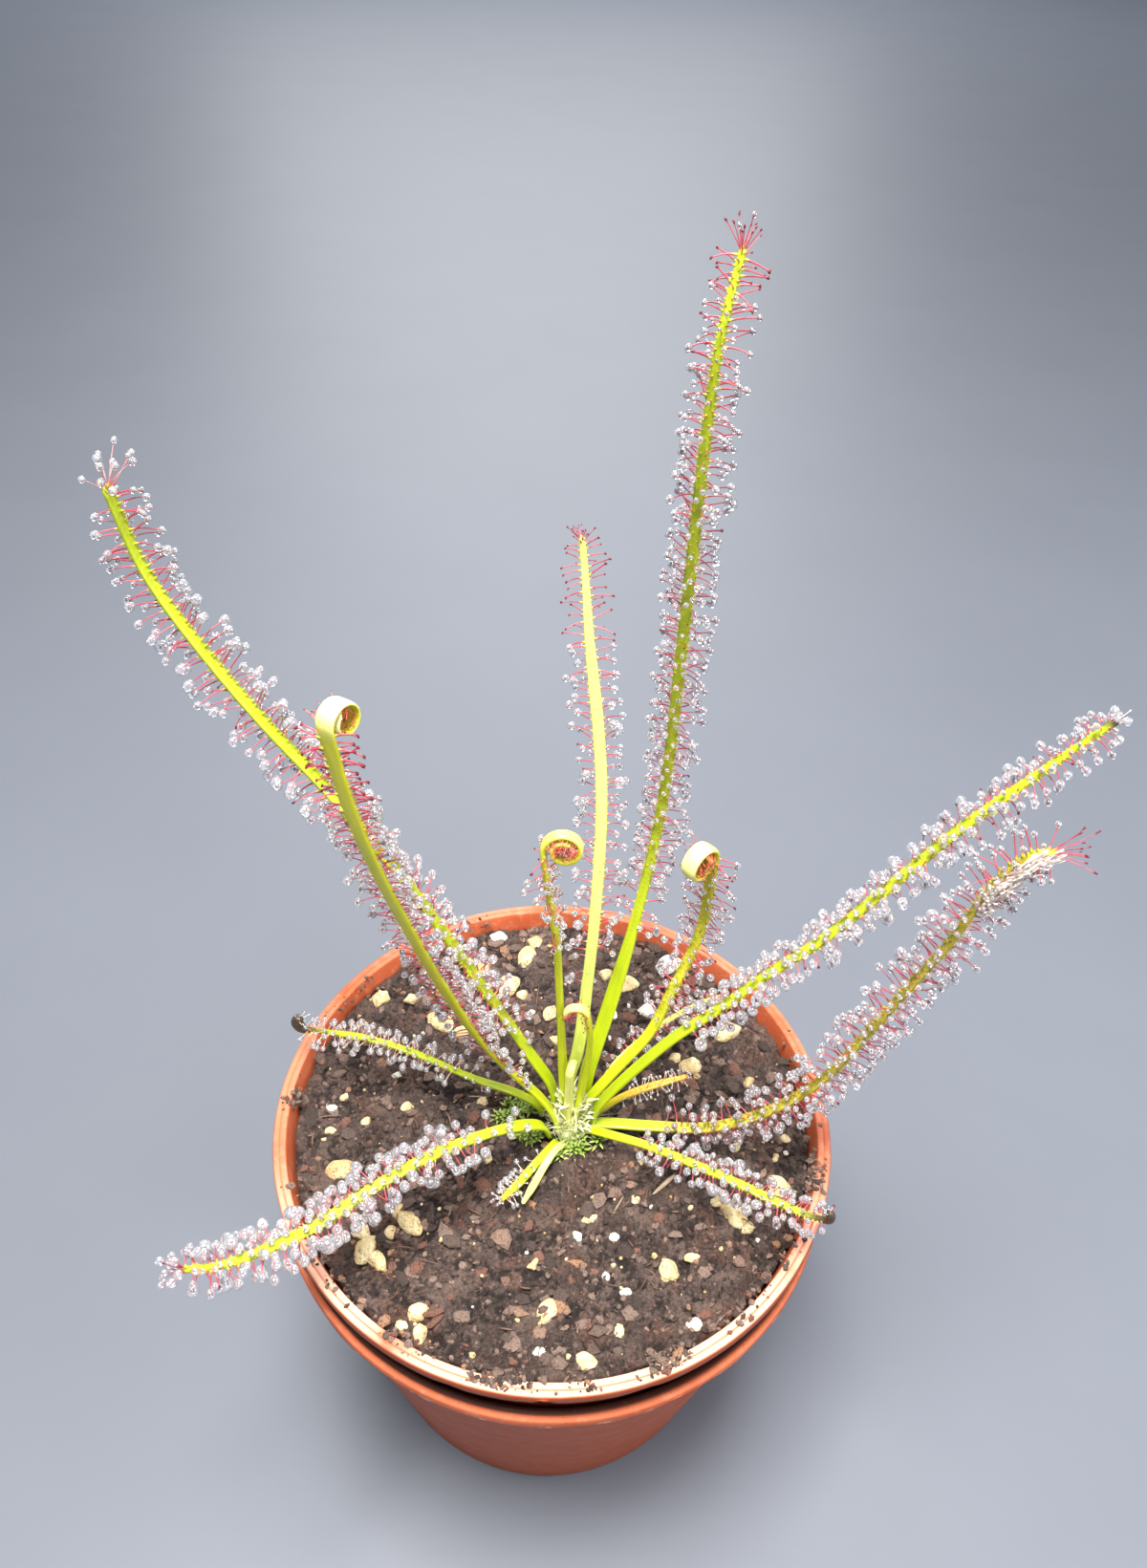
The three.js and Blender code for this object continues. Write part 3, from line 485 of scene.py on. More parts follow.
# Leaf finishes: colours of the petiole, the lamina and the browned tip, and how strong its scales are.
SKINS = {
    "green": ((168, 184, 14), (168, 182, 12), (66, 48, 34), 0.4),
    # The next skin is the green one painted lighter: painted light for leaves whose faces lie in shade.
    "green_painted_light": ((194, 206, 24), (200, 198, 28), (104, 78, 58), 1),
    "yellow": ((190, 200, 84), (214, 220, 118), (120, 84, 50), 0.08),
    "reddish": ((158, 174, 20), (178, 164, 40), (150, 70, 50), 1),
    "orange": ((196, 184, 50), (222, 160, 34), (196, 180, 60), 1),
    "pale": ((212, 216, 116), (230, 222, 146), (170, 140, 90), 1),
}


def leaf_skin(kind):
    """Smooth moist leaf skin. Fine streaks run along it, the lamina turns yellower and carries slanting
    scales in a herringbone, yellow skin is dotted, the outer side of a roll carries a painted highlight
    and the tip browns."""
    *paints, scaly = SKINS[kind]
    petiole, lamina, tip = (colour(*paint) for paint in paints)
    s = Shader("leaf skin " + kind, specular_ior_level=0.5, subsurface_weight=0.25,
               subsurface_radius=(1.0, 1.0, 0.2), subsurface_scale=0.0008, coat_weight=0.25,
               coat_roughness=0.25)
    along, around, up, blade, brown, coil = (
        s.attribute(name) for name in ("along", "around", "upper", "lamina", "brown", "coil"))
    streak = s.noise(1, 3, s.vector(around * 3.5, along * 0.12, up * 2))
    cloud = s.noise(1, 3, s.vector(around, along * 0.3, up))
    slant = (along * 7.2 + (around * around) ** 0.5 * 4.5 + cloud * 9).sine() * 0.5 + 0.5
    scales = slant ** 2.0 * blade * up.span(-0.1, 0.5) * scaly
    deeper = tuple(0.62 * c for c in petiole[:3]) + (1,)
    fresher = tuple(min(1, 1.25 * c) for c in lamina[:3]) + (1,)
    tone = s.mix(blade, petiole, lamina)
    tone = s.mix(streak.span(0.35, 0.7) * 0.35, tone, deeper)
    tone = s.mix(cloud.span(0.45, 0.75) * 0.4, tone, fresher)
    tone = s.coats(tone, (scales * 0.25, 238, 236, 130))
    if kind == "yellow":
        tone = s.coats(tone, (s.cells(1.5).span(0.16, 0.06) * blade * 0.7, 130, 120, 40))
    # Painted highlight: the outer side of a roll is whitened.
    tone = s.coats(tone, (coil * (up * -1.0).span(-0.2, 0.5), 255, 250, 196))
    return s.finish(s.mix(brown, tone, tip), 0.3 + 0.25 * streak, streak * 0.3 + scales * 0.3, 0.09)


def tentacle_red():
    """Stalks from yellow-green at the stout foot through pink-red to the dark red gland."""
    s = Shader("tentacle stalk", specular_ior_level=0.5, subsurface_weight=0.3,
               subsurface_radius=(1.0, 0.3, 0.3), subsurface_scale=0.0003)
    rise = s.attribute("rise")
    tone = s.coats(s.mix(s.attribute("tone"), colour(204, 84, 98), colour(160, 40, 60)),
                   # Stalks in a roll are orange-red: partly their own young colour, partly painted light
                   # against the shade inside the roll.
                   (s.attribute("young"), 238, 106, 76))
    tone = s.mix(rise.span(0.06, 0.26), colour(194, 202, 66), tone)
    tone = s.coats(tone, (rise.span(0.86, 0.92), 104, 12, 26),
                   (s.attribute("pale") * rise.span(0.1, 0.55), 250, 238, 224))
    return s.finish(tone, 0.35 + 0.15 * s.noise(0.3, 2))


def sticky_drop():
    """Clear sticky fluid: a water-like glass with a trace of white that is painted highlight, very slightly
    uneven.
    """
    s = Shader("sticky drop", transmission_weight=0.86, ior=1.38, specular_ior_level=1.0,
               coat_weight=1.0, coat_ior=1.8, coat_roughness=0.03)
    # The white under the glass is painted highlight.
    return s.finish(colour(252, 252, 255), 0.03, s.noise(0.6, 1), 0.02)


def papery_scale():
    """Dry whitish-green papery scales, paler to their ends."""
    s = Shader("papery scale", specular_ior_level=0.3, subsurface_weight=0.3,
               subsurface_radius=(1.0, 1.0, 0.6), subsurface_scale=0.0006)
    rise, own = s.attribute("rise"), s.attribute("tone")
    tone = s.coats(s.mix(rise.span(0.1, 0.8), colour(226, 230, 142), colour(250, 248, 214)),
                   (own.span(0.6, 1.0) * 0.4, 216, 206, 132))
    return s.finish(tone, 0.7, s.noise(0.25, 3), 0.08)


def moss_green():
    """Moss leaflets: dark at the foot, fresh yellow-green at the point."""
    s = Shader("moss", specular_ior_level=0.4, subsurface_weight=0.2,
               subsurface_radius=(0.4, 1.0, 0.2), subsurface_scale=0.0004)
    rise, own = s.attribute("rise"), s.attribute("tone")
    tone = s.coats(s.mix(rise.span(0.0, 0.7), colour(34, 50, 18), colour(150, 176, 70)),
                   (own * rise.span(0.3, 1.0) * 0.8, 206, 220, 132))
    return s.finish(tone, 0.5, s.noise(0.3, 2), 0.05)


def plant_fibre():
    """Dry root fibres and bark splinters, from black-brown to straw by tone."""
    s = Shader("plant fibre", specular_ior_level=0.3)
    own = s.attribute("tone")
    tone = s.coats(s.mix(own.span(0.0, 0.75), colour(52, 42, 38), colour(120, 92, 78)),
                   (own.span(0.75, 1.0), 180, 156, 130))
    return s.finish(tone, 0.8, s.noise(0.2, 3), 0.08)


# ---------------------------------------------------------------- meshes

def join(parts):
    """Several (points, quads, triangles, values) as one, with the later ones' faces counted on."""
    points, quads, triangles, values, start = [], [], [], {}, 0
    for part_points, part_quads, part_triangles, part_values in parts:
        points.append(part_points)
        quads.append(part_quads + start)
        triangles.append(part_triangles + start)
        for key, value in part_values.items():
            values.setdefault(key, []).append(value)
        start += len(part_points)
    return (np.concatenate(points), np.concatenate(quads), np.concatenate(triangles),
            {key: np.concatenate(value) for key, value in values.items()})


def make_piece(name, shape, material, stands_for=(), smooth=True):
    """One mesh object at the origin from points in millimetres, riding on the one body."""
    points, quads, triangles, values = shape
    mesh = bpy.data.meshes.new(name)
    loops = np.concatenate([quads.ravel(), triangles.ravel()]).astype(np.int32)
    sizes = np.concatenate([np.full(len(quads), 4), np.full(len(triangles), 3)]).astype(np.int32)
    mesh.vertices.add(len(points))
    mesh.vertices.foreach_set("co", (points * MM).astype(np.float32).ravel())
    mesh.loops.add(len(loops))
    mesh.loops.foreach_set("vertex_index", loops)
    mesh.polygons.add(len(sizes))
    mesh.polygons.foreach_set("loop_start", np.concatenate([[0], np.cumsum(sizes)[:-1]]).astype(np.int32))
    mesh.polygons.foreach_set("use_smooth", np.full(len(sizes), smooth))
    mesh.update(calc_edges=True)
    for key, value in values.items():
        layer = mesh.attributes.new(key, "FLOAT", "POINT")
        layer.data.foreach_set("value", np.asarray(value, np.float32))
    mesh.validate()
    mesh.materials.append(material)
    piece = add_object(name, mesh)
    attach(piece, BODY)
    if stands_for:
        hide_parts(*stands_for)
    return piece


def ring_faces(rings, corners, copies=1):
    """Faces of bodies whose points are a first pole, rings of corners, and a last pole, one body after
    another. Seen along the way from pole to pole the rings turn clockwise, so the faces point out."""
    k, i = np.meshgrid(np.arange(rings - 1), np.arange(corners), indexing="ij")
    j = (i + 1) % corners
    at = 1 + k * corners
    quads = np.stack([at + i, at + j, at + corners + j, at + corners + i], -1).reshape(-1, 4)
    i = np.arange(corners)
    j = (i + 1) % corners
    last = 1 + (rings - 1) * corners
    first_fan = np.stack([np.zeros_like(i), 1 + j, 1 + i], -1)
    last_fan = np.stack([np.full_like(i, last + corners), last + i, last + j], -1)
    triangles = np.concatenate([first_fan, last_fan])
    size = rings * corners + 2
    shift = np.arange(copies)[:, None, None] * size
    return ((quads[None] + shift).reshape(-1, 4), (triangles[None] + shift).reshape(-1, 3))


def unit(vectors):
    """The vectors at length one."""
    return vectors / np.maximum(np.linalg.norm(vectors, axis=-1, keepdims=True), 1e-9)


def full_turn(count):
    """Equally spaced angles round a whole turn."""
    return np.arange(count) * TURN / count


def ring_falls(rings):
    """The angles from the first pole at which equally spaced rings lie."""
    return (np.arange(rings) + 1) * np.pi / (rings + 1)


def level_way(angle):
    """Level unit vectors at an angle from +X."""
    return np.stack([np.cos(angle), np.sin(angle), 0 * angle], -1)


def level_side(angle):
    """Level unit vectors a quarter turn further than level_way."""
    return np.stack([-np.sin(angle), np.cos(angle), 0 * angle], -1)


def upright(height):
    """Vectors straight up, of the given lengths."""
    return np.stack([0 * height, 0 * height, height], -1)


def interpolate(at, known, vectors):
    """What the vectors, which belong to the known numbers, come to at other numbers between those."""
    return np.stack([np.interp(at, known, part) for part in vectors.T], -1)


def scatter(random, reach, count):
    """Points strewn evenly over a disc of radius reach: x, y and the angle of each."""
    r = reach * np.sqrt(random.random(count))
    angle = random.uniform(0, TURN, count)
    return r * np.cos(angle), r * np.sin(angle), angle


def strands(root, way, across, length, bend, width, depth, profile, corners, tone):
    """Many thin closed bodies at once. The middle of each runs root + way*length*t + bend*t^2, t from 0
    to 1. Round it lies an ellipse of half axes width and depth, times the size in profile, which lists
    (t, size) from foot to end; the poles lie on the middle at the first and last t."""
    count = len(root)
    t, size = np.array(profile, float).T
    across = unit(across - way * np.sum(across * way, -1, keepdims=True))
    deep = np.cross(way, across)

    def middle(s):
        return (root[:, None] + way[:, None] * (length[:, None] * s)[..., None]
                + bend[:, None] * (s ** 2)[None, :, None])

    turn = full_turn(corners)
    spread = (across[:, None, None] * (np.cos(turn)[None, None, :, None] * width[:, None, None, None])
              + deep[:, None, None] * (np.sin(turn)[None, None, :, None] * depth[:, None, None, None]))
    body = middle(t)[:, :, None] + spread * size[None, :, None, None]
    poles = middle(np.array([t[0], t[-1]]))
    points = np.concatenate([poles[:, :1], body.reshape(count, -1, 3), poles[:, 1:]], 1)
    quads, triangles = ring_faces(len(t), corners, count)
    rise = np.concatenate([t[:1], np.repeat(t, corners), t[-1:]])
    values = {"rise": np.tile(rise, count), "tone": np.repeat(tone, len(rise))}
    return points.reshape(-1, 3), quads, triangles, values


def lumps(centre, radii, rings, corners, uneven, tone, random, turn=None, facets=11, edge=14):
    """Many closed stones at once. Along a direction d the radius is r, where 1/r is the edge-norm of the
    positive parts of d.n/s over random flats with normal n and distance s: a polyhedron whose edges are
    the rounder the smaller edge is. Sine waves of random phase over d swell it by uneven. It is then
    stretched to three half axes and turned about Z."""
    count = len(centre)
    fall, around = (a.ravel() for a in np.meshgrid(ring_falls(rings), full_turn(corners), indexing="ij"))
    ways = np.stack([np.sin(fall) * np.cos(around), np.sin(fall) * np.sin(around), -np.cos(fall)], -1)
    ways = np.concatenate([[[0, 0, -1]], ways, [[0, 0, 1]]])
    flats = unit(random.normal(size=(count, facets, 3)))
    stand = random.uniform(0.68, 1.0, (count, facets, 1))
    facing = np.maximum(flats @ ways.T, 0.02) / stand
    swell = np.clip(np.sum(facing ** edge, 1) ** (-1 / edge), 0.4, 1.08)
    for pitch, share in ((2.1, 0.5), (4.7, 0.32), (8.3, 0.18)):
        axes = random.normal(size=(count, 3)) * pitch * 0.75
        phase = random.uniform(0, TURN, (count, 1))
        swell *= 1 + uneven * share * np.sin(axes @ ways.T + phase)
    points = ways[None] * swell[..., None] * radii[:, None]
    angle = random.uniform(0, TURN, count) if turn is None else turn
    cos, sin = np.cos(angle)[:, None], np.sin(angle)[:, None]
    turned = np.stack([points[..., 0] * cos - points[..., 1] * sin,
                       points[..., 0] * sin + points[..., 1] * cos, points[..., 2]], -1)
    quads, triangles = ring_faces(rings, corners, count)
    values = {"tone": np.repeat(tone, len(ways))}
    return (turned + centre[:, None]).reshape(-1, 3), quads, triangles, values


def hashed(phase):
    """A number from 0 to 1 for each phase, without any order: the fraction of a large multiple of its
    sine."""
    large = np.sin(phase) * 43758.5453
    return large - np.floor(large)


def lattice_noise(x, y, seed):
    """Smooth noise from -1 to 1: random values on a unit lattice, blended by smooth steps."""

    def corner(i, j):
        return 2 * hashed(i * 127.1 + j * 311.7 + seed * 74.7) - 1

    i, j = np.floor(x), np.floor(y)
    u, v = x - i, y - j
    u, v = u * u * (3 - 2 * u), v * v * (3 - 2 * v)
    low = corner(i, j) * (1 - u) + corner(i + 1, j) * u
    high = corner(i, j + 1) * (1 - u) + corner(i + 1, j + 1) * u
    return low * (1 - v) + high * v


# ---------------------------------------------------------------- pots

def wall_radius(height):
    """Radius of a pot's inner wall at a height above its base: a straight taper."""
    share = (height - FLOOR_THICKNESS) / (POT_HEIGHT - FLOOR_THICKNESS)
    return BASE_RADIUS - WALL + share * (MOUTH_RADIUS - BASE_RADIUS + WALL)


def pot_section():
    """The pot's section (radius, height) from the middle of the underside round to the middle of the
    floor: a foot with a ring-shaped groove under it, tapered wall, hanging skirt with rounded edges, a rim
    whose flat top has a shallow groove, the inner wall, and a floor raised over the groove."""
    slope, edge = 0.8, 0.35
    top = POT_HEIGHT
    skirt_inner = RIM_RADIUS - WALL
    skirt_foot = top - SKIRT_HEIGHT
    wall_top = MOUTH_RADIUS + WALL
    ground = FLOOR_THICKNESS
    under = [(0.5, 0), (6, 0), (GROOVE_INNER, 0), (GROOVE_INNER + slope, GROOVE_HEIGHT), (18, GROOVE_HEIGHT),
             (GROOVE_OUTER - slope, GROOVE_HEIGHT), (GROOVE_OUTER, 0), (28, 0), (BASE_RADIUS - 1.1, 0),
             (BASE_RADIUS - 0.5, 0.12), (BASE_RADIUS - 0.12, 0.5), (BASE_RADIUS, 1.1)]
    wall = [(BASE_RADIUS + (wall_top - BASE_RADIUS) * s, 1.1 + (top - WALL - 1.4) * s)
            for s in np.linspace(0.04, 0.985, 22)]
    skirt = [(wall_top, top - WALL - 0.12), (wall_top + 0.14, top - WALL), (skirt_inner - 0.1, top - WALL),
             (skirt_inner, top - WALL - 0.1), (skirt_inner, skirt_foot + 0.15),
             (skirt_inner + 0.1, skirt_foot), (RIM_RADIUS - 0.12, skirt_foot),
             (RIM_RADIUS, skirt_foot + 0.12), (RIM_RADIUS, skirt_foot + 0.9), (RIM_RADIUS, top - edge),
             (RIM_RADIUS - 0.1, top - 0.12), (RIM_RADIUS - edge, top)]
    groove = RIM_RADIUS - 1.05
    rim = [(groove + 0.22, top), (groove + 0.08, top - 0.14), (groove - 0.08, top - 0.14),
           (groove - 0.22, top), (MOUTH_RADIUS + 0.3, top), (MOUTH_RADIUS + 0.08, top - 0.06),
           (MOUTH_RADIUS, top - 0.28)]
    inside = [(wall_radius(h), h) for h in np.linspace(top - 1.2, ground + 0.6, 20)]
    inside += [(BASE_RADIUS - WALL - 0.5, ground), (28, ground), (GROOVE_OUTER + slope, ground),
               (GROOVE_OUTER, ground + GROOVE_HEIGHT), (18, ground + GROOVE_HEIGHT),
               (GROOVE_INNER, ground + GROOVE_HEIGHT), (GROOVE_INNER - slope, ground), (6, ground),
               (0.5, ground)]
    return np.array(under + wall + skirt + rim + inside, float)


def pot_shape(bottom, seed):
    """The section turned about Z. The skirt's lower edge waves a little and is chipped upward in places,
    and the rim is out of round by a few hundredths of a millimetre."""
    section = pot_section()
    turn = full_turn(POT_SEGMENTS)
    radius, height = section[:, :1], section[:, 1:]
    rim_share = np.clip((height - POT_HEIGHT + 4) / 4, 0, 1)
    outside = radius > MOUTH_RADIUS + WALL + 0.5
    skirt_low = outside & (height < POT_HEIGHT - SKIRT_HEIGHT + 0.5)
    chip = np.clip(lattice_noise(turn * 9, turn * 0 + 3, seed) - 0.2, 0, 1) * 1.1
    wave = 0.05 * np.sin(5 * turn + seed) + 0.04 * lattice_noise(turn * 14, turn * 0, seed + 1)
    lift = np.where(skirt_low, np.abs(wave) + chip, 0)
    swell = -0.03 * rim_share * (1 + np.sin(3 * turn + seed))
    r = radius + swell
    z = height + lift + bottom
    points = np.stack([r * np.sin(turn), -r * np.cos(turn), z + 0 * turn], -1).reshape(-1, 3)
    points = np.concatenate([[[0, 0, bottom]], points, [[0, 0, bottom + FLOOR_THICKNESS]]])
    return points, *ring_faces(len(section), POT_SEGMENTS), {}


def make_pot(name, bottom, seed, material):
    """A pot with its drain holes cut through the floor over the groove, by upright rods that start below
    the base."""
    pot = make_piece(name + "_moulding", pot_shape(bottom, seed), material, [name])
    ring = DRAIN_RADIUS * level_way(full_turn(DRAIN_CORNERS))
    tall = np.array([0, 0, CUTTER_HEIGHT])
    middle = (GROOVE_INNER + GROOVE_OUTER) / 2
    rods = []
    for i in range(DRAIN_COUNT):
        angle = (i + 0.5) * TURN / DRAIN_COUNT
        centre = np.array([middle * np.cos(angle), middle * np.sin(angle), bottom - CUTTER_HEIGHT / 3])
        rod = np.concatenate([[centre], centre + ring, centre + ring + tall, [centre + tall]])
        rods.append((rod, *ring_faces(2, DRAIN_CORNERS), {}))
    points, quads, triangles, _ = join(rods)
    mesh = bpy.data.meshes.new("drain_cutter")
    mesh.from_pydata((points * MM).tolist(), [], quads.tolist() + triangles.tolist())
    cutter = add_object("drain_cutter", mesh)
    cut = pot.modifiers.new("drain holes", "BOOLEAN")
    cut.operation = "DIFFERENCE"
    cut.solver = "EXACT"
    cut.object = cutter
    bpy.context.view_layer.objects.active = pot
    bpy.ops.object.modifier_apply(modifier=cut.name)
    bpy.data.objects.remove(cutter)


# ---------------------------------------------------------------- soil

def soil_base(x, y):
    """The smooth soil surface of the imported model: a low mound with slow waves."""
    share = np.minimum(1, np.hypot(x, y) / wall_radius(POT_HEIGHT))
    waves = (np.sin(0.52 * x + 1.3) * np.cos(0.47 * y - 0.4) + 0.7 * np.sin(0.81 * x - 0.63 * y)
             + 0.5 * np.cos(0.95 * y + 0.38 * x))
    return SOIL_EDGE + SOIL_MOUND * (1 - share ** 2) + SOIL_LUMP * waves


def domes(x, y, size, seed):
    """Close-packed rounded clods: 1 less the distance, in cells of the given size, to the nearest of the
    points that stand one in each cell at a random place."""
    x, y = x / size, y / size
    i, j = np.floor(x), np.floor(y)
    nearest = np.full(x.shape, 9.0)
    for di in (-1, 0, 1):
        for dj in (-1, 0, 1):
            h = hashed((i + di) * 127.1 + (j + dj) * 311.7 + seed * 17.3)
            g = hashed((i + di) * 269.5 + (j + dj) * 183.3 + seed * 41.9)
            nearest = np.minimum(nearest, np.hypot(i + di + h - x, j + dj + g - y))
    return 1 - nearest


def soil_relief(x, y):
    """How far the crumbs stand above the soil's base: slow swells 4 mm across, clods of 2.2, 1.2 and
    0.6 mm whose places are shifted by fine noise, and unevenness 0.4 mm across."""
    warp_x = x + 0.8 * lattice_noise(x / 0.9, y / 0.9, 11)
    warp_y = y + 0.8 * lattice_noise(x / 0.9, y / 0.9, 12)
    rough = lattice_noise(x / 3.1, y / 3.1, 6) * 0.5 + 0.6
    return (0.4 * lattice_noise(x / 4.2, y / 4.2, 1)
            + 1.05 * rough * (domes(warp_x, warp_y, 2.2, 2) - 0.55)
            + 0.9 * (domes(warp_x + 3, warp_y, 1.2, 5) - 0.55)
            + 0.42 * (domes(warp_x, warp_y + 5, 0.6, 8) - 0.55)
            + 0.24 * lattice_noise(x / 0.4, y / 0.4, 4))


def soil_height(x, y):
    """The soil surface with its crumbs."""
    return soil_base(x, y) + soil_relief(x, y)


def soil_shape():
    """A polar grid over the soil, closed below by a plug that follows the pot's wall up to 6 mm under the
    soil's edge. high is how far each point stands above the smooth surface."""
    edge = wall_radius(SOIL_EDGE - 1 - NEST_RISE) - SOIL_GAP
    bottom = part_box("soil")[0].z / MM
    radius = np.concatenate([[wall_radius(bottom - NEST_RISE) - SOIL_GAP, edge - 0.3],
                             edge * (1 - np.arange(SOIL_RINGS) / SOIL_RINGS)])
    r, a = np.meshgrid(radius, full_turn(SOIL_SEGMENTS), indexing="ij")
    x, y = r * np.sin(a), -r * np.cos(a)
    z = soil_height(x, y)
    z[0] = bottom
    z[1] = SOIL_EDGE - 6
    points = np.stack([x, y, z], -1).reshape(-1, 3)
    top = soil_height(np.zeros(1), np.zeros(1))[0]
    points = np.concatenate([[[0, 0, bottom]], points, [[0, 0, top]]])
    high = np.concatenate([[0], soil_relief(x, y).ravel(), [0]])
    return points, *ring_faces(len(radius), SOIL_SEGMENTS), {"high": high}


# Large pumice grains and stones: x, y, half length, half width, turn in degrees, tone (0 tan, 0.4 cream,
# 1 white).
GRAINS = [
    [-33, -11, 3, 2.7, 20, 0.1], [-27.1, -23.8, 2.8, 2, 60, 0.4], [-28.4, -21.4, 1.9, 1.5, 10, 0.4],
    [-25.1, -25.8, 2.2, 1.5, 150, 0.4], [-20.9, -19.6, 2.9, 1.7, 140, 0.4],
    [-23.2, -17.4, 1.5, 1.3, 30, 0.4], [-23.9, -21.4, 1.5, 1.1, 80, 0.5], [0.4, -32.4, 2.5, 1.6, 65, 0.4],
    [18.1, -25.8, 2.4, 1.7, 110, 0.4], [21.8, -23.4, 1.6, 0.9, 20, 0.5], [6.4, -17.9, 1.7, 0.8, 15, 0.4],
    [4.5, -20.8, 1.2, 0.9, 100, 0.8], [10, -20.6, 0.9, 0.9, 0, 0.9], [13.3, -14.5, 1.2, 0.8, 80, 0.4],
    [28.5, -16.4, 2.8, 2, 130, 0.3], [26, -14, 1.7, 1.4, 40, 0.3], [30.6, -18.4, 1.4, 1.1, 10, 0.4],
    [36, -11.2, 2.5, 1.9, 140, 0.5], [-18.5, -33.1, 1.9, 1.5, 20, 0.3], [-17.6, -36, 1.8, 1.4, 100, 0.4],
    [-20.6, -34.6, 1.2, 1, 0, 0.3], [-0.7, -38, 1.5, 1, 60, 0.9], [5.9, -38.8, 2.1, 1.5, 170, 0.4],
    [10.7, -34.2, 1.3, 0.9, 100, 0.3], [21.5, -33.4, 1.4, 1.2, 20, 0.8], [11.7, -29, 1.2, 0.7, 0, 0.9],
    [8.8, -26.5, 0.8, 0.8, 0, 0.9], [-11.9, 38.4, 1.8, 1.5, 0, 0.9], [-6.1, 33.6, 3.1, 2, 70, 0.45],
    [-4.9, 37.6, 2, 1.7, 120, 0.4], [-14.9, 29.1, 3, 2.6, 90, 0.05], [-9.1, 26.3, 2.7, 2.2, 30, 0.5],
    [-6.6, 24.4, 1.5, 1.2, 60, 0.5], [-31.9, 23, 2, 1.7, 50, 0.4], [-20.7, 18.1, 3.4, 2.1, 150, 0.45],
    [-16.8, 15.8, 2.3, 1.5, 20, 0.35], [-34.4, 17.2, 1.7, 1.3, 20, 0.4], [-26.3, 22.7, 1.6, 1.2, 0, 0.5],
    [-26.8, 6.9, 1.1, 0.9, 0, 0.8], [16.1, 22, 2.8, 2, 160, 1], [20.3, 32.5, 3.2, 2.4, 40, 0.95],
    [11.7, 27.7, 3.2, 1.9, 10, 0.4], [8.4, 30, 1.8, 1.5, 60, 0.5], [29.8, 18.3, 3.2, 2.2, 20, 0.3],
    [23, 10.6, 2.2, 1.8, 0, 0.3], [20.4, 11.9, 1.5, 1.1, 40, 0.5], [-1.4, 20.6, 2.1, 1.6, 80, 0.5],
    [-0.4, 14.5, 1.6, 1.1, 20, 0.5], [9.6, 21.1, 1.6, 1.3, 100, 0.7], [38, -2.6, 1, 0.8, 0, 0.5],
    [36.1, -5.8, 1, 0.7, 60, 0.4], [-24, 0.5, 1.4, 1, 20, 0.4], [-11.8, 1.6, 1.3, 1, 30, 0.4],
    [-36.1, -3.9, 1.4, 0.9, 170, 0.2], [-36.4, -0.1, 1.1, 0.8, 0, 0.9], [-34.8, 1.9, 1, 0.8, 60, 0.5],
    [-30.5, -2.5, 1.1, 0.8, 40, 0.4], [-10.2, -8.6, 1, 0.7, 30, 0.3], [29.5, -5, 1.3, 1, 0, 0.5],
    [33, 8, 1.4, 1.1, 60, 0.5], [-2, -25.6, 1.2, 0.8, 50, 0.1], [14.5, -8, 0.9, 0.7, 0, 0.4],
]


def make_grains(material):
    """The listed grains sunk to about 40% in the soil, and many small ones by a golden-angle scatter."""
    random = np.random.default_rng(21)
    x, y, long, wide, heading, tone = np.array(GRAINS).T
    radii = GRAIN_SHARE * np.stack([long, wide, wide * 0.85], -1)
    centre = np.stack([x, y, soil_base(x, y) + 0.1 * wide], -1)
    large = lumps(centre, radii, 15, 24, 0.16, tone, random, np.radians(heading))
    count = SMALL_GRAINS
    r = (wall_radius(POT_HEIGHT) - 2) * np.sqrt((np.arange(count) + 0.5) / count)
    a = np.arange(count) * GOLDEN + random.uniform(-0.8, 0.8, count)
    x, y = r * np.cos(a), r * np.sin(a)
    size = 0.16 + 0.5 * random.random(count) ** 3
    tone = np.where(random.random(count) < 0.16, 0.95, 0.4 * random.random(count))
    radii = size[:, None] * random.uniform(0.7, 1.2, (count, 3))
    centre = np.stack([x, y, soil_height(x, y) + 0.2 * size], -1)
    small = lumps(centre, radii, 5, 8, 0.3, tone, random)
    make_piece("pumice_grains", join([large, small]), material)


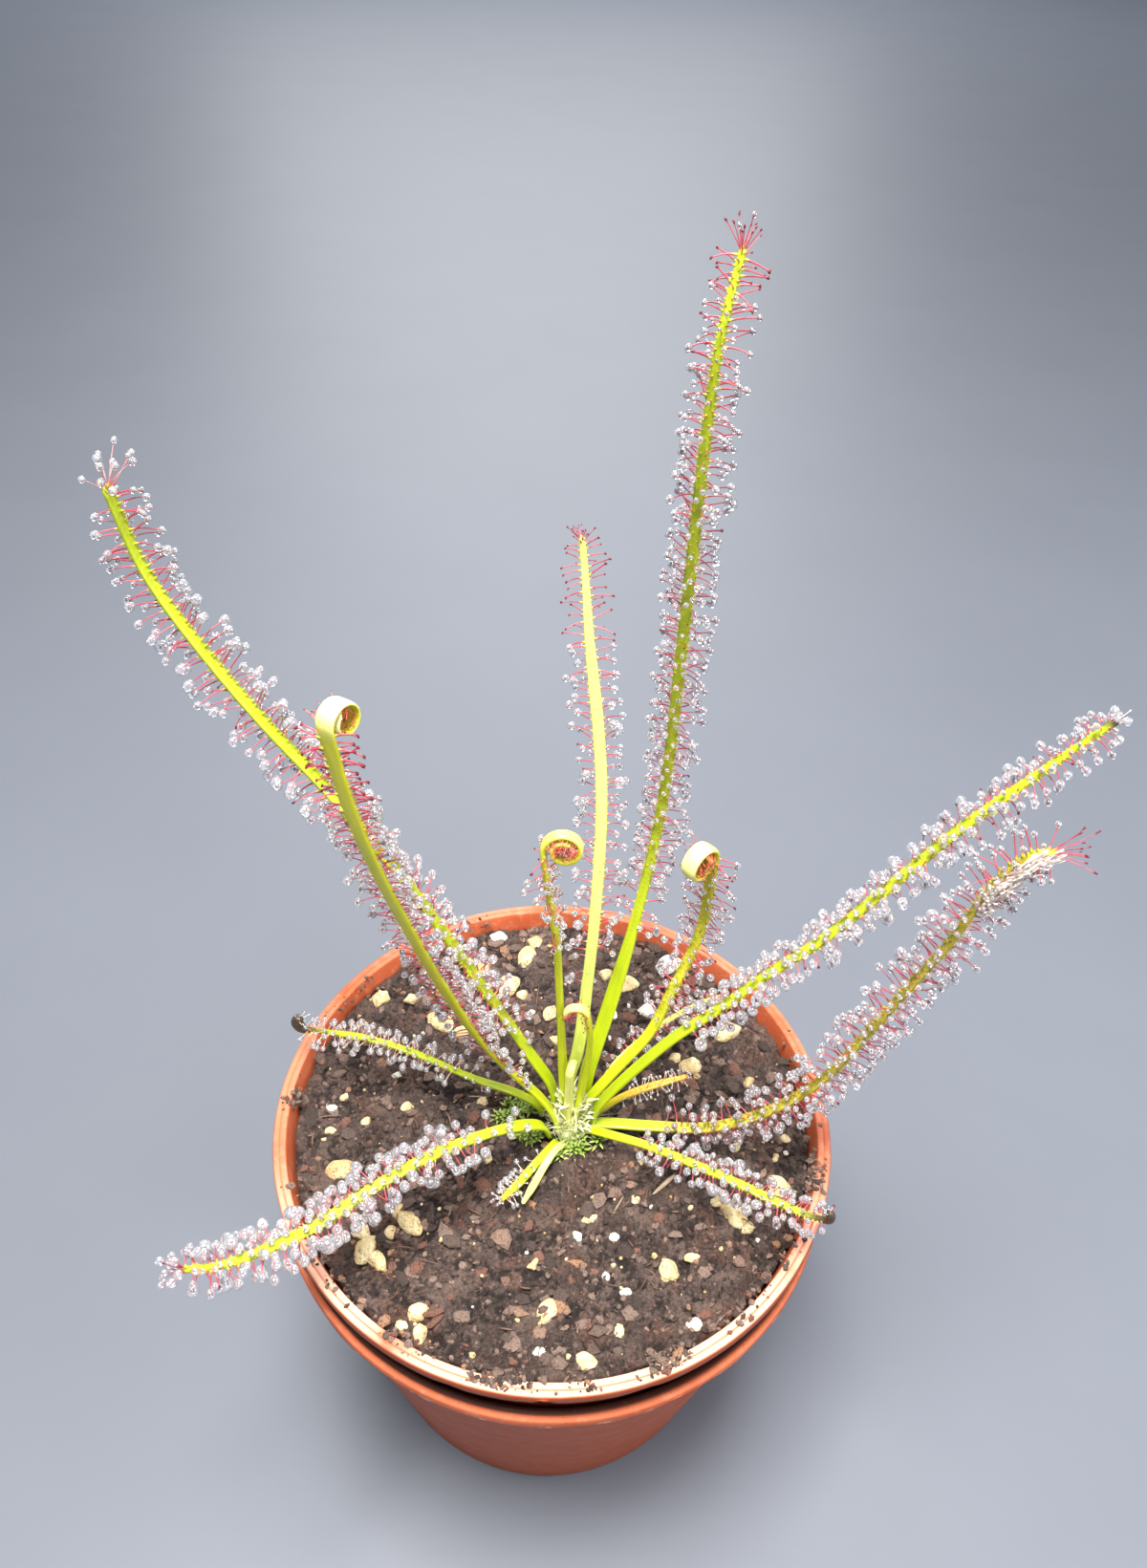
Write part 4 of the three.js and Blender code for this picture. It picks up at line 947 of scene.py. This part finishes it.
def make_crumbs(material):
    """Loose crumbs all over the soil, the first of them flat bits of bark, and heaps of crumbs that spill
    on the inner rim."""
    random = np.random.default_rng(31)
    x, y, _ = scatter(random, wall_radius(POT_HEIGHT) - 1.2, CRUMBS)
    size = 0.13 + 0.42 * random.random(CRUMBS) ** 2.4
    size[:BARK_BITS] = 0.42 + 0.8 * random.random(BARK_BITS) ** 1.6
    z = soil_height(x, y) + 0.1 * size
    # Spills on the rim: middle angle and half width in degrees, number of crumbs, and an exponent that
    # says how strongly they keep to the inner edge.
    spills = [(-98, 6, 190, 1.6), (-66, 5, 160, 1.6), (-83, 3, 30, 1.6), (179, 4, 30, 3), (111, 4, 20, 3),
              (-14, 5, 110, 3), (-30, 9, 40, 3), (-48, 8, 60, 3), (-140, 14, 90, 3), (-116, 8, 50, 3),
              (12, 9, 20, 3), (150, 12, 20, 3)]
    angles = np.concatenate([np.radians(m + w * random.normal(size=n) * 0.55) for m, w, n, _ in spills])
    spread = np.concatenate([np.full(n, keep) for _, _, n, keep in spills])
    out = MOUTH_RADIUS - 1.1 + 2.6 * random.random(len(angles)) ** spread
    rim_size = 0.14 + 0.42 * random.random(len(angles)) ** 1.8
    on_rim = out > MOUTH_RADIUS
    rim_z = np.where(on_rim, RIM_TOP + 0.25 * rim_size, RIM_TOP - 1.0 + 1.2 * random.random(len(angles)))
    x = np.concatenate([x, out * np.cos(angles)])
    y = np.concatenate([y, out * np.sin(angles)])
    z = np.concatenate([z, rim_z])
    size = np.concatenate([size, rim_size])
    radii = size[:, None] * random.uniform(0.6, 1.5, (len(size), 3)) * [1, 1, 0.65]
    radii[:BARK_BITS, 2] *= 0.6
    tone = random.random(len(size)) ** 1.2
    shape = lumps(np.stack([x, y, z], -1), radii, 3, 6, 0.5, tone, random)
    make_piece("soil_crumbs", shape, material, smooth=False)


def make_fibres(material):
    """Root fibres lying in the soil, and a few straw-coloured splinters."""
    random = np.random.default_rng(41)
    count = FIBRES
    x, y, _ = scatter(random, FIBRE_REACH, count)
    heading = random.uniform(0, TURN, count)
    way = np.stack([np.cos(heading), np.sin(heading), random.uniform(-0.1, 0.35, count)], -1)
    length = 0.8 + 3.4 * random.random(count) ** 3
    bend = random.normal(size=(count, 3)) * 0.35 * length[:, None] * [1, 1, 0.25] - [0, 0, 0.25]
    width = 0.05 + 0.13 * random.random(count) ** 2.5
    tone = 0.78 * random.random(count)
    # Splinters: x, y, heading in degrees, length, half width, tone.
    sx, sy, sh, sl, sw, st = np.array([
        [19.6, -10, 225, 5.4, 0.42, 0.95], [11.5, -14, 240, 4, 0.16, 0.9], [-10.8, 2.6, 185, 3.6, 0.16, 0.9],
        [-24.6, 27.6, 30, 2.6, 0.2, 0.8], [-9.8, -8.8, 275, 4.2, 0.1, 0.7], [30.6, 25.4, 20, 3.6, 0.16, 0.7],
        [24, -34, 50, 3.4, 0.16, 0.8], [33, 20.8, 215, 3.4, 0.14, 0.9]]).T
    x, y = np.concatenate([x, sx]), np.concatenate([y, sy])
    root = np.stack([x, y, soil_height(x, y) + 0.12], -1)
    way = unit(np.concatenate([way, level_way(np.radians(sh)) + [0, 0, 0.08]]))
    length, width, tone = (np.concatenate(pair) for pair in ((length, sl), (width, sw), (tone, st)))
    bend = np.concatenate([bend, np.zeros((len(sx), 3)) + [0.2, 0.1, 0]])
    across = np.cross(way, [0, 0, 1.0])
    profile = [(0, 0.3), (0.12, 0.8), (0.35, 1), (0.6, 0.9), (0.82, 0.7), (1, 0.25)]
    shape = strands(root, way, across, length, bend, width, width * 0.7, profile, THREAD_CORNERS, tone)
    make_piece("soil_fibres", shape, material)


# ---------------------------------------------------------------- crown and moss

def make_crown(material):
    """A low dome, pointed papery scales on it, some of which climb the petioles, and fine hairs."""
    random = np.random.default_rng(51)
    dome = lumps(CROWN[None] + [[0, 0, -1.9]], np.array([[3.0, 3.0, 2.6]]), 16, 32, 0.05,
                 np.array([0.2]), random)
    dome[3]["rise"] = np.full(len(dome[0]), 0.1)
    count = SCALES
    a = np.arange(count) * GOLDEN
    lift = 4.5 * random.random(count) ** 2
    r = 0.82 * CROWN_RADIUS * np.sqrt(0.04 + 0.96 * (np.arange(count) + 0.5) / count) * (1 - 0.07 * lift)
    out = level_way(a)
    root = CROWN + out * r[:, None] + upright(2.4 + lift - 2.8 * (r / CROWN_RADIUS) ** 2)
    lean = 0.1 + 0.65 * (r / CROWN_RADIUS) ** 2 / (1 + lift)
    way = unit(out * lean[:, None] + [0, 0, 1] + 0.3 * random.normal(size=(count, 3)))
    length = random.uniform(1.2, 2.7, count) * (1.1 - 0.3 * r / CROWN_RADIUS)
    bend = out * (0.5 * random.normal(size=count) + 0.3)[:, None] + 0.4 * random.normal(size=(count, 3))
    width = random.uniform(0.2, 0.58, count)
    profile = [(0, 0.8), (0.15, 1), (0.4, 0.85), (0.65, 0.5), (0.85, 0.25), (1, 0.06)]
    tone = random.random(count)
    scales = strands(root, way, level_side(a), length, bend, width, np.full(count, 0.08), profile, 6, tone)
    count = HAIRS
    a = random.uniform(0, TURN, count)
    r = CROWN_RADIUS * np.sqrt(random.random(count)) * 0.95
    out = level_way(a)
    root = CROWN + out * r[:, None] + upright(2.3 - 2.9 * (r / CROWN_RADIUS) ** 2)
    way = unit(out * 0.5 + [0, 0, 1.0] + 0.55 * random.normal(size=(count, 3)))
    length = random.uniform(1.2, 3.0, count)
    bend = 0.7 * random.normal(size=(count, 3))
    width = np.full(count, 0.045)
    hairs = strands(root, way, np.roll(way, 1, 1), length, bend, width, width, profile, THREAD_CORNERS,
                    0.3 * random.random(count))
    make_piece("crown_scales", join([dome, scales, hairs]), material, ["crown"])


def make_moss(material):
    """Small moss shoots: each a short stem with pointed leaflets that spiral up it and stand out."""
    random = np.random.default_rng(61)
    # Patches: x, y, radius, number of shoots.
    patches = [(-4.8, -4.4, 1.1, 4), (1.8, -6.4, 1.2, 4), (4.0, -6.8, 1.0, 3), (-5.6, 1.6, 2.2, 5),
               (-8.2, -0.6, 1.6, 3), (7.6, -5.4, 0.8, 1)]
    leaves = MOSS_LEAFLETS
    roots, ways, lengths, widths, tones = [], [], [], [], []
    for px, py, pr, shoots in patches:
        x, y, a = scatter(random, pr, shoots)
        x, y = px + x, py + y
        foot = np.stack([x, y, soil_height(x, y)], -1)
        stem = unit(np.array([0, -0.15, 1]) + 0.3 * random.normal(size=(shoots, 3)))
        tall = random.uniform(1.0, 2.1, shoots)
        i = np.arange(leaves)
        spin = i * GOLDEN + a[:, None]
        level = (i / (leaves - 1))[None]
        flat = level_way(spin)
        roots.append((foot[:, None] + stem[:, None] * (tall[:, None] * level)[..., None]).reshape(-1, 3))
        ways.append(unit(flat + stem[:, None] * (0.25 + 1.3 * level[..., None] ** 2)).reshape(-1, 3))
        lengths.append((random.uniform(1.5, 2.4, (shoots, 1)) * (1.05 - 0.45 * level)).ravel())
        widths.append(np.full(shoots * leaves, 0.31))
        tones.append(np.repeat(random.random(shoots), leaves))
    root, way, length, width, tone = (np.concatenate(v) for v in (roots, ways, lengths, widths, tones))
    across = np.cross(way, [0.0, 0.0, 1.0])
    bend = np.zeros_like(root) + [0, 0, -0.12]
    profile = [(0, 0.6), (0.3, 1), (0.65, 0.7), (1, 0.08)]
    shape = strands(root, way, across, length, bend, width, width * 0.35, profile, THREAD_CORNERS, tone)
    make_piece("moss_shoots", shape, material)


# ---------------------------------------------------------------- leaves

def curve_samples(points):
    """Points along a centripetal Catmull-Rom curve through the given points: a cubic between each two,
    whose slopes come from the neighbours, weighted by the square roots of the distances."""
    points = np.asarray(points, float)
    ends = 2 * points[0] - points[1], 2 * points[-1] - points[-2]
    full = np.concatenate([[ends[0]], points, [ends[1]]])
    share = np.linspace(0, 1, 60, endpoint=False)[:, None]
    pieces = []
    for p0, p1, p2, p3 in zip(full[:-3], full[1:-2], full[2:-1], full[3:]):
        d0, d1, d2 = (np.linalg.norm(b - a) ** 0.5 for a, b in ((p0, p1), (p1, p2), (p2, p3)))
        start = ((p1 - p0) / d0 - (p2 - p0) / (d0 + d1) + (p2 - p1) / d1) * d1
        end = ((p2 - p1) / d1 - (p3 - p1) / (d1 + d2) + (p3 - p2) / d2) * d1
        pieces.append(p1 + start * share + (3 * (p2 - p1) - 2 * start - end) * share ** 2
                      + (2 * (p1 - p2) + start + end) * share ** 3)
    return np.concatenate(pieces + [points[-1:]])


def smooth_step(value, low, high):
    """0 up to low, 1 from high on, and 3s^2 - 2s^3 between them."""
    share = np.clip((value - low) / (high - low), 0, 1)
    return share * share * (3 - 2 * share)


def leaf_stations(leaf):
    """The leaf's middle line at equal steps with its frame: tangent, the face that carries tentacles
    (across the line, towards the crown's axis, turned about Z by twist over the lower 45%) and the side
    direction; then the curled tip, a spiral whose radius falls evenly with its angle. Half widths and half
    thickness run along with it. grown is the share of lamina."""
    azimuth = math.radians(leaf["azimuth"])
    line = np.array([p if len(p) == 3 else p + [0] for p in leaf["line"]], float)
    out = np.array([math.cos(azimuth), math.sin(azimuth), 0])
    aside = np.array([-math.sin(azimuth), math.cos(azimuth), 0])
    up = np.array([0, 0, 1.0])
    points = CROWN + line[:, :1] * out + line[:, 2:] * aside + line[:, 1:2] * up
    fine = curve_samples(points)
    run = np.concatenate([[0], np.cumsum(np.linalg.norm(np.diff(fine, axis=0), axis=1))])
    straight = run[-1]
    count = max(4, int(straight / STATION_STEP))
    along = np.linspace(0, straight, count + 1)
    point = interpolate(along, run, fine)
    tangent = unit(np.gradient(point, axis=0))
    turned = azimuth + math.radians(leaf["twist"]) * smooth_step(along, 0, 0.45 * straight)
    across = level_side(turned) * leaf["inward"]
    face = unit(np.cross(tangent, across))
    turns, first, last = leaf["curl"]
    closed = turns > ROLLED_TURNS
    middle = point[-1] + face[-1] * first
    if turns:
        total = TURN * turns
        angle = np.linspace(0, total, int(math.degrees(total) / COIL_STEP) + 2)[1:]
        radius = first + (last - first) * angle / total
        cos, sin = np.cos(angle)[:, None], np.sin(angle)[:, None]
        ray = -face[-1] * cos + tangent[-1] * sin
        point = np.concatenate([point, middle + ray * radius[:, None]])
        tangent = np.concatenate([tangent, face[-1] * sin + tangent[-1] * cos])
        face = np.concatenate([face, -ray])
        along = np.concatenate([along, straight + angle * (first + radius) / 2])
    side = unit(np.cross(face, tangent))
    share = along / along[-1]
    grown = smooth_step(along, leaf["bare"] * 0.6, leaf["bare"] * 1.2)
    width = leaf["petiole"] + (leaf["blade"] - leaf["petiole"]) * grown
    width = width * (1 - leaf["taper"] * smooth_step(share, 0.72, 1) * (1 - 0.9 * closed))
    rolled = smooth_step(along, straight - 10, straight + 2) * closed
    width = width * (1 + leaf["rolled_width"] * rolled)
    thick = np.minimum(leaf["thickness"], width)
    thick = thick * (1 - 0.25 * share) * (1 - 0.25 * rolled)
    club = leaf["club"] * smooth_step(along, straight - 1.5, straight + 1.5)
    width, thick = width + 0.6 * club, thick + club
    return dict(point=point, tangent=tangent, face=face, side=side, along=along, share=share,
                width=width / 2, thick=thick / 2, grown=grown, straight=straight, middle=middle)


def blade_shape(leaf, line):
    """The blade: at every station a flat oval whose upper face is dished along the middle and whose
    edges are round. The foot is closed flat and the tip runs out in a point."""
    turn = full_turn(BLADE_CORNERS)
    cos, sin = np.cos(turn), np.sin(turn)
    wide = np.sign(cos) * np.abs(cos) ** 0.75
    dish = np.where(sin > 0, 1 - 0.45 * (1 - np.abs(cos)), 1.0)
    deep = np.sign(sin) * np.abs(sin) ** 0.8 * dish
    scallop = 1 + 0.012 * line["grown"] * np.sin(line["along"] * 6.1)
    body = (line["point"][:, None] + line["side"][:, None] * (line["width"] * scallop)[:, None, None]
            * wide[None, :, None] + line["face"][:, None] * line["thick"][:, None, None]
            * deep[None, :, None])
    foot = line["point"][:1]
    end = line["point"][-1:] + line["tangent"][-1:] * line["width"][-1] * 1.2
    points = np.concatenate([foot, body.reshape(-1, 3), end])
    along, share, straight = line["along"], line["share"], line["straight"]
    browned = leaf["tip"]
    brown = smooth_step(share, 1 - browned * 1.6, 1 - browned * 0.5) if browned else share * 0
    # How strong the painted highlight on the outer side of the roll is.
    coil = leaf["coil_painted_highlight"] * smooth_step(along, straight - 2, straight + 4)
    stations = {"along": along, "lamina": line["grown"], "brown": brown, "coil": coil}
    values = {key: np.concatenate([v[:1], np.repeat(v, BLADE_CORNERS), v[-1:]])
              for key, v in stations.items()}
    for key, v in (("around", cos), ("upper", sin)):
        values[key] = np.concatenate([[0], np.tile(v, len(along)), [0]])
    return points, *ring_faces(len(along), BLADE_CORNERS), values


def chosen(plan, keep):
    """The tentacles of a plan for which keep is true."""
    return {key: value[keep] for key, value in plan.items()}


def together(first, second):
    """The tentacles of two plans as one plan."""
    return {key: np.concatenate([first[key], second[key]]) for key in first}


def tentacle_plan(leaf, line, random):
    """Where the leaf's tentacles stand and how they run. They are spread evenly along the lamina, and by
    the golden ratio across it; few and short ones stand in the middle of the face, long ones at the edges,
    and the outermost bend to the back. A stalk starts forward along the leaf, then bends out to its tip.
    On a rolled tip they crowd to the middle of the roll and have no drops. A tuft fans out from the very
    end by the golden angle."""
    full = line["along"][-1]
    closed = leaf["curl"][0] > ROLLED_TURNS
    rolled_from = line["straight"] if closed else full
    start = leaf["bare"] - 4
    free = int((rolled_from - start) * leaf["dense"])
    packed = int((full - rolled_from) * ROLLED_DENSITY)
    count = free + packed
    along = np.concatenate([
        start + (rolled_from - 0.3 - start) * (np.arange(free) + random.random(free)) / max(1, free),
        rolled_from + (full - rolled_from) * random.random(packed)])
    rolled = np.arange(count) >= free
    across = 2 * ((np.arange(count) / GOLDEN_RATIO + random.random()) % 1) - 1
    point, face, side, tangent = (interpolate(along, line["along"], line[key])
                                  for key in ("point", "face", "side", "tangent"))
    face, side, tangent = unit(face), unit(side), unit(tangent)

    def ray(angle):
        return face * np.cos(angle)[:, None] + side * np.sin(angle)[:, None]

    outermost = math.radians(leaf["outermost"])
    angle = outermost * np.sign(across) * np.abs(across) ** 0.7
    angle = np.where(rolled, np.radians(62) * across, angle)
    edge = smooth_step(np.abs(angle), math.radians(30), math.radians(88))
    length = MIDDLE_LENGTH + (leaf["reach"] - MIDDLE_LENGTH) * edge
    length = length * (1 - 0.42 * random.random(count) ** 1.3)
    length = length * smooth_step(along, start - 6, start + 6)
    roll_radius = np.linalg.norm(point - line["middle"], axis=-1)
    length = np.where(rolled, roll_radius * random.uniform(0.55, 1.0, count), length)
    turn = leaf["turn"]
    foot_turn = leaf.get("foot_turn", turn)
    turned = np.radians(foot_turn + (turn - foot_turn) * smooth_step(along / full, 0.42, 0.6))
    attached = np.clip(angle, -1.6, 1.6) + turned
    forward = random.uniform(0.0, 0.5, count) - 0.4 * (random.random(count) < 0.3)
    out = unit(ray(angle + turned) + tangent * forward[:, None] + 0.16 * random.normal(size=(count, 3)))
    way = unit(ray(attached) * 0.4 + tangent * 0.25 + out * 1.0)
    bend = (out - way) * length[:, None]
    bend += (0.07 * random.normal(size=(count, 3)) - [0, 0, 0.05]) * length[:, None]
    wide, deep = (np.interp(along, line["along"], line[key])[:, None] for key in ("width", "thick"))
    sin, cos = np.sin(attached)[:, None], np.cos(attached)[:, None]
    root = (point + side * wide * 0.74 * np.sign(sin) * np.abs(sin) ** 0.75
            + face * deep * 0.6 * cos)
    drop = leaf["drop"] * random.uniform(0.84, 1.16, count) * (0.7 + 0.3 * edge)
    drop *= 1 - 0.3 * smooth_step(along / full, 0.78, 0.98)
    drop *= np.where(random.random(count) < 0.06, 1.3, 1)
    drop *= np.where(random.random(count) < leaf["heavy"] * edge, 1.5, 1)
    share = along / full
    drop = np.where(rolled | (random.random(count) < 0.05) | (share > leaf["wet"]), 0, drop)
    near_roll = closed & (along > rolled_from - 7)
    drop = np.where(near_roll & (random.random(count) < 0.3), 0, drop)
    dense_from = leaf["bare"] + leaf["ramp"]
    keep = (random.random(count) < smooth_step(along, start, dense_from) * 0.92 + 0.08) | rolled
    keep &= along < full - leaf["end"]
    thin = 1 + leaf["stout"] * smooth_step(along, rolled_from - 16, rolled_from - 6)
    plan = dict(root=root, way=way, length=length, bend=bend, drop=drop, thin=np.where(rolled, 0.6, thin),
                pale=np.full(count, leaf["pale"]), young=rolled * 1.0)
    plan = chosen(plan, keep)
    tufted, tuft_length, spread = leaf["tuft"]
    if tufted:
        i = np.arange(tufted)
        spin = i * GOLDEN
        fan = spread * np.sqrt((i + 0.5) / tufted)
        end = {key: line[key][-1] for key in ("point", "face", "side", "tangent")}
        forward = unit(end["tangent"] + end["face"] * (fan * np.cos(spin) + 0.12)[:, None]
                       + end["side"] * (fan * np.sin(spin))[:, None])
        lengths = tuft_length * random.uniform(0.6, 1.05, tufted)
        tuft = dict(root=end["point"] - end["tangent"] * random.uniform(0, 0.8, (tufted, 1)),
                    way=forward, length=lengths,
                    bend=0.1 * random.normal(size=(tufted, 3)) * lengths[:, None],
                    drop=leaf["drop"] * random.uniform(0.55, 0.85, tufted)
                    * (random.random(tufted) >= leaf["dry"]),
                    thin=np.full(tufted, 0.6), pale=np.full(tufted, leaf["tuft_pale"]),
                    young=np.zeros(tufted))
        plan = together(plan, tuft)
    return plan


def matted(line, random):
    """Bleached tentacles matted together along the last stretch of a leaf, on the side that looks down
    and forward: they start outward and lie down along the leaf. Few have drops."""
    count = MATTED_COUNT
    full = line["along"][-1]
    along = full - random.uniform(2.5, 13, count)
    point, face, side, tangent = (interpolate(along, line["along"], line[key])
                                  for key in ("point", "face", "side", "tangent"))
    angle = np.radians(random.uniform(-150, -85, count))[:, None]
    ray = unit(face * np.cos(angle) + side * np.sin(angle))
    length = random.uniform(1.5, 3.4, count)
    way = unit(ray + 0.2 * random.normal(size=(count, 3)))
    bend = (tangent * random.uniform(0.3, 1.2, (count, 1)) - ray * 0.45) * length[:, None]
    bend += 0.12 * random.normal(size=(count, 3)) * length[:, None]
    return dict(root=point + ray * 0.4, way=way, length=length, bend=bend,
                drop=np.where(random.random(count) < 0.05, 0.36, 0), thin=np.full(count, 1.2),
                pale=random.uniform(0.6, 1.0, count), young=np.zeros(count))


def clear_of_others(plan, own, lines):
    """True where a tentacle's outer half keeps off the other leaves, the soil and the pots' rims."""
    tip = plan["root"] + plan["way"] * plan["length"][:, None] + plan["bend"]
    half = plan["root"] + plan["way"] * plan["length"][:, None] * 0.55
    room = plan["drop"] + TENTACLE_GAP
    keep = tip[:, 2] > soil_base(tip[:, 0], tip[:, 1]) + 0.5 + room
    low, high = (np.array(list(corner)) / MM for corner in CAD_BOX)
    keep &= ((tip - room[:, None] > low) & (tip + room[:, None] < high)).all(1)
    away = np.hypot(tip[:, 0], tip[:, 1])
    keep &= ~((away > MOUTH_RADIUS - 1) & (away < RIM_RADIUS + 1) & (tip[:, 2] < RIM_TOP + 0.3 + room))
    for name, line in lines.items():
        if name == own:
            continue
        for probe in (tip, half):
            gap = np.linalg.norm(probe[:, None] - line["point"][None], axis=-1) - line["width"][None]
            keep &= gap.min(1) > room
    return keep


STALK_PROFILE = [(0, 1.0), (0.12, 0.68), (0.32, 0.46), (0.6, 0.4), (0.86, 0.36), (0.93, 1.0), (0.985, 0.85)]


def stalk_shape(plan, random):
    """Stalks: rods with a stout conical foot, a thin middle and an oval gland at the end. rise is the
    share of the way along one, tone a tone of its own."""
    count = len(plan["root"])
    across = np.cross(plan["way"], [0.31, 0.17, 0.93])
    radius = STALK_FOOT_RADIUS * random.uniform(0.85, 1.15, count) * np.clip(plan["length"] / 2.4, 0.7, 1.1)
    radius *= plan["thin"]
    shape = strands(plan["root"], plan["way"], across, plan["length"], plan["bend"], radius, radius,
                    STALK_PROFILE, THREAD_CORNERS, random.random(count))
    each = len(shape[0]) // count
    shape[3].update({key: np.repeat(plan[key], each) for key in ("pale", "young")})
    return shape


def drop_shape(plan, random):
    """Drops: near-spheres round the glands, drawn out a little along the stalk."""
    wet = plan["drop"] > 0
    root, way, bend = plan["root"][wet], plan["way"][wet], plan["bend"][wet]
    length, size = plan["length"][wet], plan["drop"][wet]
    centre = root + way * (length * 0.94)[:, None] + bend * 0.88
    axis = unit(way + 2 * bend / length[:, None])
    tall = size * random.uniform(1.0, 1.15, len(size))
    fall = ring_falls(DROP_RINGS)
    profile = list(zip((1 - np.cos(fall)) / 2, np.sin(fall)))
    foot = centre - axis * tall[:, None]
    across = np.cross(axis, [0.31, 0.17, 0.93])
    shape = strands(foot, axis, across, 2 * tall, np.zeros_like(foot), size, size, profile, DROP_CORNERS,
                    random.random(len(size)))
    points = shape[0].reshape(len(size), -1, 3)
    points[:, 0] = foot
    points[:, -1] = foot + 2 * axis * tall[:, None]
    return points.reshape(-1, 3), *shape[1:]


def make_leaves(stalk_material, drop_material):
    """Every leaf as a blade, its stalks and its drops, with a seed of its own."""
    skins = {kind: leaf_skin(kind) for kind in SKINS}
    leaves = {name: {**USUAL_LEAF, **leaf} for name, leaf in LEAVES.items()}
    lines = {name: leaf_stations(leaf) for name, leaf in leaves.items()}
    for number, (name, leaf) in enumerate(leaves.items()):
        random = np.random.default_rng(100 + number)
        kind = leaf["skin"]
        make_piece(name + "_blade", blade_shape(leaf, lines[name]), skins[kind], [name])
        if not leaf["dense"]:
            continue
        plan = tentacle_plan(leaf, lines[name], random)
        if leaf["matted"]:
            plan = together(plan, matted(lines[name], random))
        plan = chosen(plan, clear_of_others(plan, name, lines))
        make_piece(name + "_stalks", stalk_shape(plan, random), stalk_material)
        if (plan["drop"] > 0).any():
            make_piece(name + "_drops", drop_shape(plan, random), drop_material)


# ---------------------------------------------------------------- staging

def make_stage():
    """A wide pale floor under the pot, and soft lamps."""
    s = Shader("pale floor", specular_ior_level=0.3)
    grey = s.mix(s.noise(60, 3), colour(104, 108, 116), colour(110, 114, 122))
    mesh = bpy.data.meshes.new("floor")
    corners = [(-FLOOR_REACH, -FLOOR_REACH, 0), (FLOOR_REACH, -FLOOR_REACH, 0),
               (FLOOR_REACH, FLOOR_REACH, 0), (-FLOOR_REACH, FLOOR_REACH, 0)]
    mesh.from_pydata(corners, [], [(0, 1, 2, 3)])
    mesh.materials.append(s.finish(grey, 0.5))
    floor = add_object("floor", mesh)
    world = bpy.data.worlds.new("studio")
    world.use_nodes = True
    sky = world.node_tree.nodes["Background"]
    sky.inputs["Color"].default_value = (0.62, 0.68, 0.8, 1)
    sky.inputs["Strength"].default_value = 0.42
    bpy.context.scene.world = world
    make_light("key lamp", (-0.05, -0.08, 0.7), 0.26, 11.4, (1.0, 0.98, 0.95))
    make_light("front lamp", (0.24, -0.58, 0.42), 0.5, 1.75, LAMP_WHITE)
    make_light("side lamp", (0.6, -0.05, 0.4), 0.4, 2.8, LAMP_WHITE)
    make_light("back lamp", (-0.1, 1.9, 0.9), 1.0, 24.0, LAMP_WHITE)
    bpy.context.scene.view_settings.view_transform = "Standard"


make_camera()
make_stage()
plastic = pot_plastic()
make_pot("outer_pot", 0.0, 3.0, plastic)
make_pot("inner_pot", NEST_RISE, 8.0, plastic)
make_piece("soil_surface", soil_shape(), peat(), ["soil"])
make_grains(pumice())
make_crumbs(peat_crumbs())
make_fibres(plant_fibre())
make_crown(papery_scale())
make_moss(moss_green())
make_leaves(tentacle_red(), sticky_drop())
